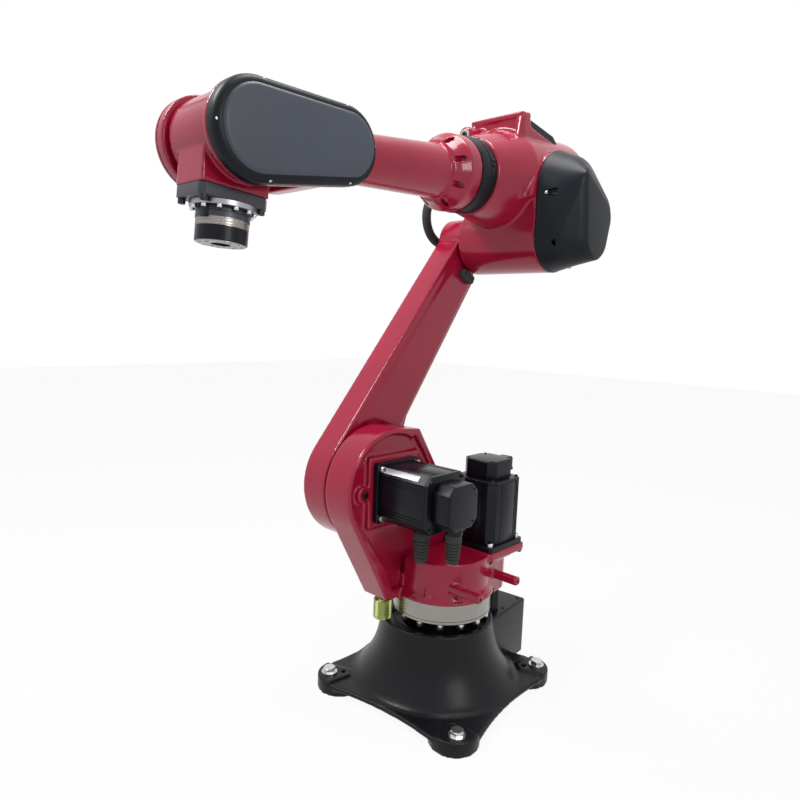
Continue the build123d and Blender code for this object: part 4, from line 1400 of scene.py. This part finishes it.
    def back(self) -> None:
        """Round rear lid, the screws on the slope behind the pad, and the plain pieces."""
        rear = LAYOUT.forearm_at(-158.0)
        out = Place(rear.origin, rear.across, -rear.facing)
        dish = ((0, -2), (96, -2), (96, -0.9), (93, 0.0), (70, 0.0), (68, -1.2), (0, -1.2))
        finished(lathe("rear_lid", dish, out, 128), SMOOTH_RED, Body.ELBOW)
        seats = spots(out, circle_points(84, 10, 18), -1.7)
        self.screws.row("rear_lid_screws", Head.CAP, 4.2, 1.6, seats, SCREW, Body.ELBOW)
        middle = LAYOUT.forearm_side(0.0).at(-16.0, 111.0)
        slope = Place(middle, -LEFT, Vector((-0.34, 0, 0.94)).normalized())
        seats = spots(slope, square_points(52.0, 24.0), -1.0)
        self.screws.row("slope_lid_screws", Head.PAN, 4.0, 2.4, seats, DARK_SCREW, Body.ELBOW)
        dressed("elbow_back_cover", BLACK_COVER)
        dressed("elbow_reducer_disc", STEEL)
        dressed("elbow_conduit", RUBBER)

    def build(self) -> None:
        """Builds the whole elbow."""
        self.casting()
        self.plug()
        self.cover()
        self.collar()
        self.back()


@dataclass
class Forearm:
    """Forearm casting with its flange, fork, belt cover and far dome."""

    screws: Fasteners
    flange_back: float = 216.3
    flange_rim: float = 34.0
    belt_circles: tuple[Circle, ...] = ((0.0, 0.0, 73.0), (-168.0, 0.0, 62.0))
    belt_screws: tuple[Point, ...] = (
        (12.0, 66.5), (-66.5, 4.0), (12.0, -66.5), (167.0, -56.5), (223.5, 4.0), (167.0, 56.5),
    )
    cheek_y: float = 62.0
    far_y: float = -81.0

    def casting(self) -> None:
        """Red casting with bolt pockets in its flange and webs under the fork."""
        end = self.flange_back + self.flange_rim
        side = LAYOUT.forearm_side(0.0)
        flare = ((40, end - 4), (74, end - 4), (66, end + 14), (58, end + 34), (40, end + 40))
        lumps = [ring_lathe("flange_flare", flare, LAYOUT.forearm_at(0.0))]
        web = [(470, -30), (610, -55), (610, -20), (470, -20)]
        for y in (-20.0, 20.0):
            lumps.append(prism("web", web, side, y - 4, y + 4, 0.5))
        slot = ((61.0, 0, 6.0), (64.0, 0, 6.0))
        spokes = [self._spoke(15.0 + 45.0 * k, end) for k in range(8)]
        bites = tuple(slab("pocket", slot, at, -3.0, 40.0, edge=0.5, steps=32) for at in spokes)
        obj = cast("forearm_body", "forearm_casting", lumps, 2.4, keep=0.32, smooth=5, bites=bites)
        finished(obj, RED, Body.FOREARM)
        seats = [(at.at(63.0, 0, -2.8), at.facing) for at in spokes]
        self.screws.row("flange_screws", Head.CAP, 4.8, 6.0, seats, SCREW, Body.FOREARM)

    def _spoke(self, angle: float, distance: float) -> Place:
        """Frame square to the forearm whose x points out at an angle.

        Args:
            angle: Angle in degrees.
            distance: How far along the forearm it stands.

        Returns:
            The frame.
        """
        at = LAYOUT.forearm_at(distance)
        turn = math.radians(angle)
        across = at.across * math.cos(turn) + at.facing.cross(at.across) * math.sin(turn)
        return Place(at.origin, across, at.facing)

    def belt_cover(self) -> None:
        """Long cover over the wrist belt: dark rounded rim and a raised paler face."""
        place = LAYOUT.wrist_side(0.0)
        out = Place(place.origin, -place.across, -place.facing)
        circles = tuple((-x, y, r) for x, y, r in self.belt_circles)
        y = self.cheek_y
        rim = slab("belt_rim", circles, out, y, y + 22.0, edge=12.0, steps=144)
        finished(rim, BLACK_COVER, Body.FOREARM, "wrist_belt_cover")
        face = tuple((along, up, r - 11.5) for along, up, r in circles)
        plate = slab("belt_face", face, out, y + 12.0, y + 26.0, edge=7.0, steps=144)
        finished(plate, BLUE_COVER, Body.FOREARM)
        seats = spots(out, list(self.belt_screws), y + 16.6)
        self.screws.row("belt_screws", Head.PAN, 3.6, 3.0, seats, SCREW, Body.FOREARM)

    def dome(self) -> None:
        """Round cap over the far cheek, with a groove."""
        place = LAYOUT.wrist_side(self.far_y)
        groove = ((73.0, 2.4), (71.6, 3.0), (71.6, 3.8), (72.4, 4.4))
        top = ((70.5, 7.0), (66, 8.8), (58, 9), (0, 9))
        cap = lathe("far_dome", ((0, -1), (73, -1), *groove, *top), place, 128)
        finished(cap, SMOOTH_RED, Body.FOREARM, "wrist_far_cap")
        seats = spots(place, circle_points(61, 6, 30), 8.8)
        self.screws.row("dome_screws", Head.PAN, 3.6, 2.4, seats, SCREW, Body.FOREARM)

    def build(self) -> None:
        """Builds the whole forearm."""
        self.casting()
        self.belt_cover()
        self.dome()


@dataclass
class Wrist:
    """Wrist casting, its plate and the tool reducer."""

    screws: Fasteners
    plate_back: float = 80.0
    plate_front: float = 98.0
    plate_shift: float = 3.0
    tool_at: float = 133.3
    tool_length: float = 22.7

    def casting(self) -> None:
        """Red wrist casting with softened corners."""
        obj = cast("wrist_body", "wrist_casting", [], 1.9, smooth=7, keep=0.3)
        finished(obj, RED, Body.WRIST)

    def plate(self) -> None:
        """Dark plate with cut corners and its hanging bolts."""
        place = LAYOUT.tool_at(0.0).moved(self.plate_shift)
        low, high = self.plate_back, self.plate_front
        seam = slab("plate_seam", chamfered(112, 74, 8), place, low - 0.6, low + 1.2, edge=0.2)
        body = slab("plate_body", chamfered(114, 78, 9), place, low + 1.0, high, edge=1.6, foot=0.6)
        finished(body, SLATE, Body.WRIST, "wrist_flange_plate")
        finished(seam, BLACK_COVER, Body.WRIST)
        seats = spots(place, square_points(48.0, 31.0), high)
        self.screws.row("plate_bolts", Head.CAP, 5.6, 7.0, seats, DARK_SCREW, Body.WRIST)

    def reducer(self) -> None:
        """Pale flange ring, grey case with a side block and a knurled band."""
        place = LAYOUT.tool_at(self.plate_front)
        rim = ((0, 0), (49.4, 0), (50, 0.6), (50, 7.2), (49.2, 8), (0, 8))
        ring = lathe("reducer_ring", rim, place)
        finished(ring, ALUMINIUM, Body.WRIST, "tool_reducer_flange")
        seats = spots(place, circle_points(45.0, 12, 8), 8.0)
        self.screws.row("reducer_screws", Head.CAP, 3.8, 4.6, seats, SCREW, Body.WRIST)
        groove = ((40, 14), (39, 14.6), (39, 15.8), (40, 16.4))
        wall = ((39.4, 8), (40, 9), *groove, (40, 23))
        case = lathe("reducer_case", ((0, 8), *wall, (0, 23)), place)
        finished(case, SLATE, Body.WRIST, "tool_reducer_body")
        front = Place(place.at(0, 0, 15.5), -place.facing, place.across).moved(0, -12.0)
        block = slab("reducer_block", corners(20, 14, 2), front, 34, 41.5, edge=1.0)
        finished(block, BLACK_COVER, Body.WRIST)
        band = ring_lathe("knurled_band", ((30, 23), (38.6, 23), (38.6, 35), (30, 35)), place)
        finished(band, STEEL, Body.WRIST, "tool_reducer_band")
        ribs = []
        for x, y in circle_points(38.4, 96):
            out = (place.at(x, y, 29.0) - place.at(0, 0, 29.0)).normalized()
            for z in (25.0, 29.0, 33.0):
                ribs.append((place.at(x, y, z), out))
        self.screws.row("band_knurls", Head.RIB, 1.0, 0.9, ribs, STEEL, Body.WRIST)

    def tool(self) -> None:
        """Black output flange with a drilled silver face."""
        place, end, bore = LAYOUT.tool_at(self.tool_at), self.tool_length, 15.0
        wall = ((39, 0), (39, end - 2), (38, end - 1))
        rim = ring_lathe("tool_rim", ((bore, 0), *wall, (bore, end - 1)), place)
        self._drilled(rim, place)
        finished(rim, MOTOR, Body.TOOL, "tool_flange")
        edge = ((37.2, end - 1.6), (37.2, end - 0.4), (36.6, end))
        face = ring_lathe("tool_face", ((bore, end - 1.6), *edge, (bore, end)), place)
        self._drilled(face, place)
        finished(face, ALUMINIUM, Body.TOOL)
        core = lathe("tool_core", ((0, 1), (15.2, 1), (15.2, 12.7), (0, 12.7)), place, 64)
        finished(core, DARK_SCREW, Body.TOOL)

    def _drilled(self, obj: bpy.types.Object, place: Place) -> None:
        """Takes the holes of the tool face out of a piece.

        Args:
            obj: The piece.
            place: Frame of the tool flange.
        """
        low, high = self.tool_length - 12, self.tool_length + 3
        holes = [
            lathe("hole", ((r, low), (r, high)), place.moved(x, y), 20) for r, x, y in self._holes()
        ]
        cut(obj, holes, CUT_SHARP)

    def _holes(self) -> list[Triple]:
        """Radius, x and y of every hole in the tool face.

        Returns:
            The holes.
        """
        holes = [(3.0, x, y) for x, y in circle_points(25.0, 4)]
        holes += [(2.7, x, y) for x, y in circle_points(31.0, 8, 22.5)]
        holes += [(2.0, x, y) for x, y in circle_points(19.5, 4, 45)]
        return holes

    def build(self) -> None:
        """Builds the wrist and the tool reducer."""
        self.casting()
        self.plate()
        self.reducer()
        self.tool()


@dataclass
class Studio:
    """Pale floor, soft lamps and the camera at the photograph's angle."""

    camera_at: Triple = (1.093, 0.870, 0.818)
    azimuth: float = 43.04
    elevation: float = 7.05
    roll: float = 1.97
    lens: float = 28.8
    sensor: float = 36.0
    aim: Triple = (0.1, 0.0, 0.7)
    floor_half: float = 9.0
    floor_glow: float = 0.93
    sky_light: float = 0.3

    def camera(self) -> None:
        """Stands the camera where the photograph was taken."""
        a, e, roll = (math.radians(v) for v in (self.azimuth, self.elevation, self.roll))
        back = Vector((math.cos(a) * math.cos(e), math.sin(a) * math.cos(e), math.sin(e)))
        level = UP.cross(back).normalized()
        above = back.cross(level)
        right = level * math.cos(roll) + above * math.sin(roll)
        up = above * math.cos(roll) - level * math.sin(roll)
        data = bpy.data.cameras.new("camera")
        data.lens = self.lens
        data.sensor_width = self.sensor
        obj = bpy.data.objects.new("camera", data)
        matrix = Matrix((right, up, back)).transposed().to_4x4()
        matrix.translation = self.camera_at
        obj.matrix_world = matrix
        bpy.context.scene.collection.objects.link(obj)
        bpy.context.scene.camera = obj

    def lamp(self, name: str, at: Vector, size: float, power: float) -> None:
        """One soft square lamp that faces the arm.

        Args:
            name: Name of the lamp.
            at: Where it stands, in metres.
            size: Side of its square in metres.
            power: Its power in watts.
        """
        data = bpy.data.lights.new(name, "AREA")
        data.size = size
        data.energy = power
        obj = bpy.data.objects.new(name, data)
        obj.location = at
        obj.rotation_euler = (at - Vector(self.aim)).to_track_quat("Z", "Y").to_euler()
        bpy.context.scene.collection.objects.link(obj)

    def seen_as_white(self, tree: bpy.types.NodeTree) -> bpy.types.NodeSocket:
        """Tells rays from the eye, from gloss and through glass from the rest.

        Args:
            tree: The node tree to add it to.

        Returns:
            Socket that gives one for such rays and nought for the rest.
        """
        path = tree.nodes.new("ShaderNodeLightPath")
        seen = path.outputs["Is Camera Ray"]
        for kind in ("Is Glossy Ray", "Is Transmission Ray"):
            most = tree.nodes.new("ShaderNodeMath")
            most.operation = "MAXIMUM"
            tree.links.new(seen, most.inputs[0])
            tree.links.new(path.outputs[kind], most.inputs[1])
            seen = most.outputs[0]
        return seen

    def world(self) -> None:
        """White to the eye, softer grey as a source of light."""
        world = bpy.data.worlds.new("studio")
        world.use_nodes = True
        nodes, links = world.node_tree.nodes, world.node_tree.links
        sky = nodes["Background"]
        strength = nodes.new("ShaderNodeMapRange")
        strength.inputs["To Min"].default_value = self.sky_light
        strength.inputs["To Max"].default_value = 1.0
        sky.inputs["Color"].default_value = (1, 1, 1, 1)
        links.new(self.seen_as_white(world.node_tree), strength.inputs["Value"])
        links.new(strength.outputs["Result"], sky.inputs["Strength"])
        bpy.context.scene.world = world

    def floor(self) -> None:
        """Wide pale floor that keeps the arm's shadow."""
        mesh = bpy.data.meshes.new("floor")
        far = self.floor_half
        square = [(-far, -far, 0), (far, -far, 0), (far, far, 0), (-far, far, 0)]
        mesh.from_pydata(square, [], [(0, 1, 2, 3)])
        paint = bpy.data.materials.new("pale_floor")
        paint.use_nodes = True
        nodes, links = paint.node_tree.nodes, paint.node_tree.links
        shader = nodes["Principled BSDF"]
        shader.inputs["Base Color"].default_value = (0.8, 0.8, 0.8, 1)
        shader.inputs["Roughness"].default_value = 0.9
        glow = nodes.new("ShaderNodeEmission")
        mix = nodes.new("ShaderNodeMixShader")
        share = nodes.new("ShaderNodeMath")
        share.operation = "MULTIPLY"
        share.inputs[1].default_value = self.floor_glow
        links.new(self.seen_as_white(paint.node_tree), share.inputs[0])
        links.new(share.outputs[0], mix.inputs["Fac"])
        links.new(shader.outputs["BSDF"], mix.inputs[1])
        links.new(glow.outputs["Emission"], mix.inputs[2])
        links.new(mix.outputs["Shader"], nodes["Material Output"].inputs["Surface"])
        mesh.materials.append(paint)
        link("floor", mesh)

    def build(self) -> None:
        """Sets the stage, the lamps and the camera."""
        bpy.context.scene.view_settings.view_transform = "Standard"
        self.world()
        self.floor()
        self.lamp("key", Vector((1.4, -0.9, 2.6)), 0.7, 44)
        self.lamp("fill", Vector((0.6, 2.6, 1.6)), 0.9, 20)
        self.lamp("top", Vector((-0.2, 0.2, 3.0)), 1.0, 34)
        self.camera()


def main() -> None:
    logging.basicConfig(level=logging.INFO, format="%(message)s")
    screws = Fasteners()
    for kind in (Pedestal, Turret, UpperArm, Elbow, Forearm, Wrist):
        kind(screws).build()
        LOG.info("%s built", kind.__name__)
    screws.clear()
    Studio().build()


if __name__ == "__main__":
    main()
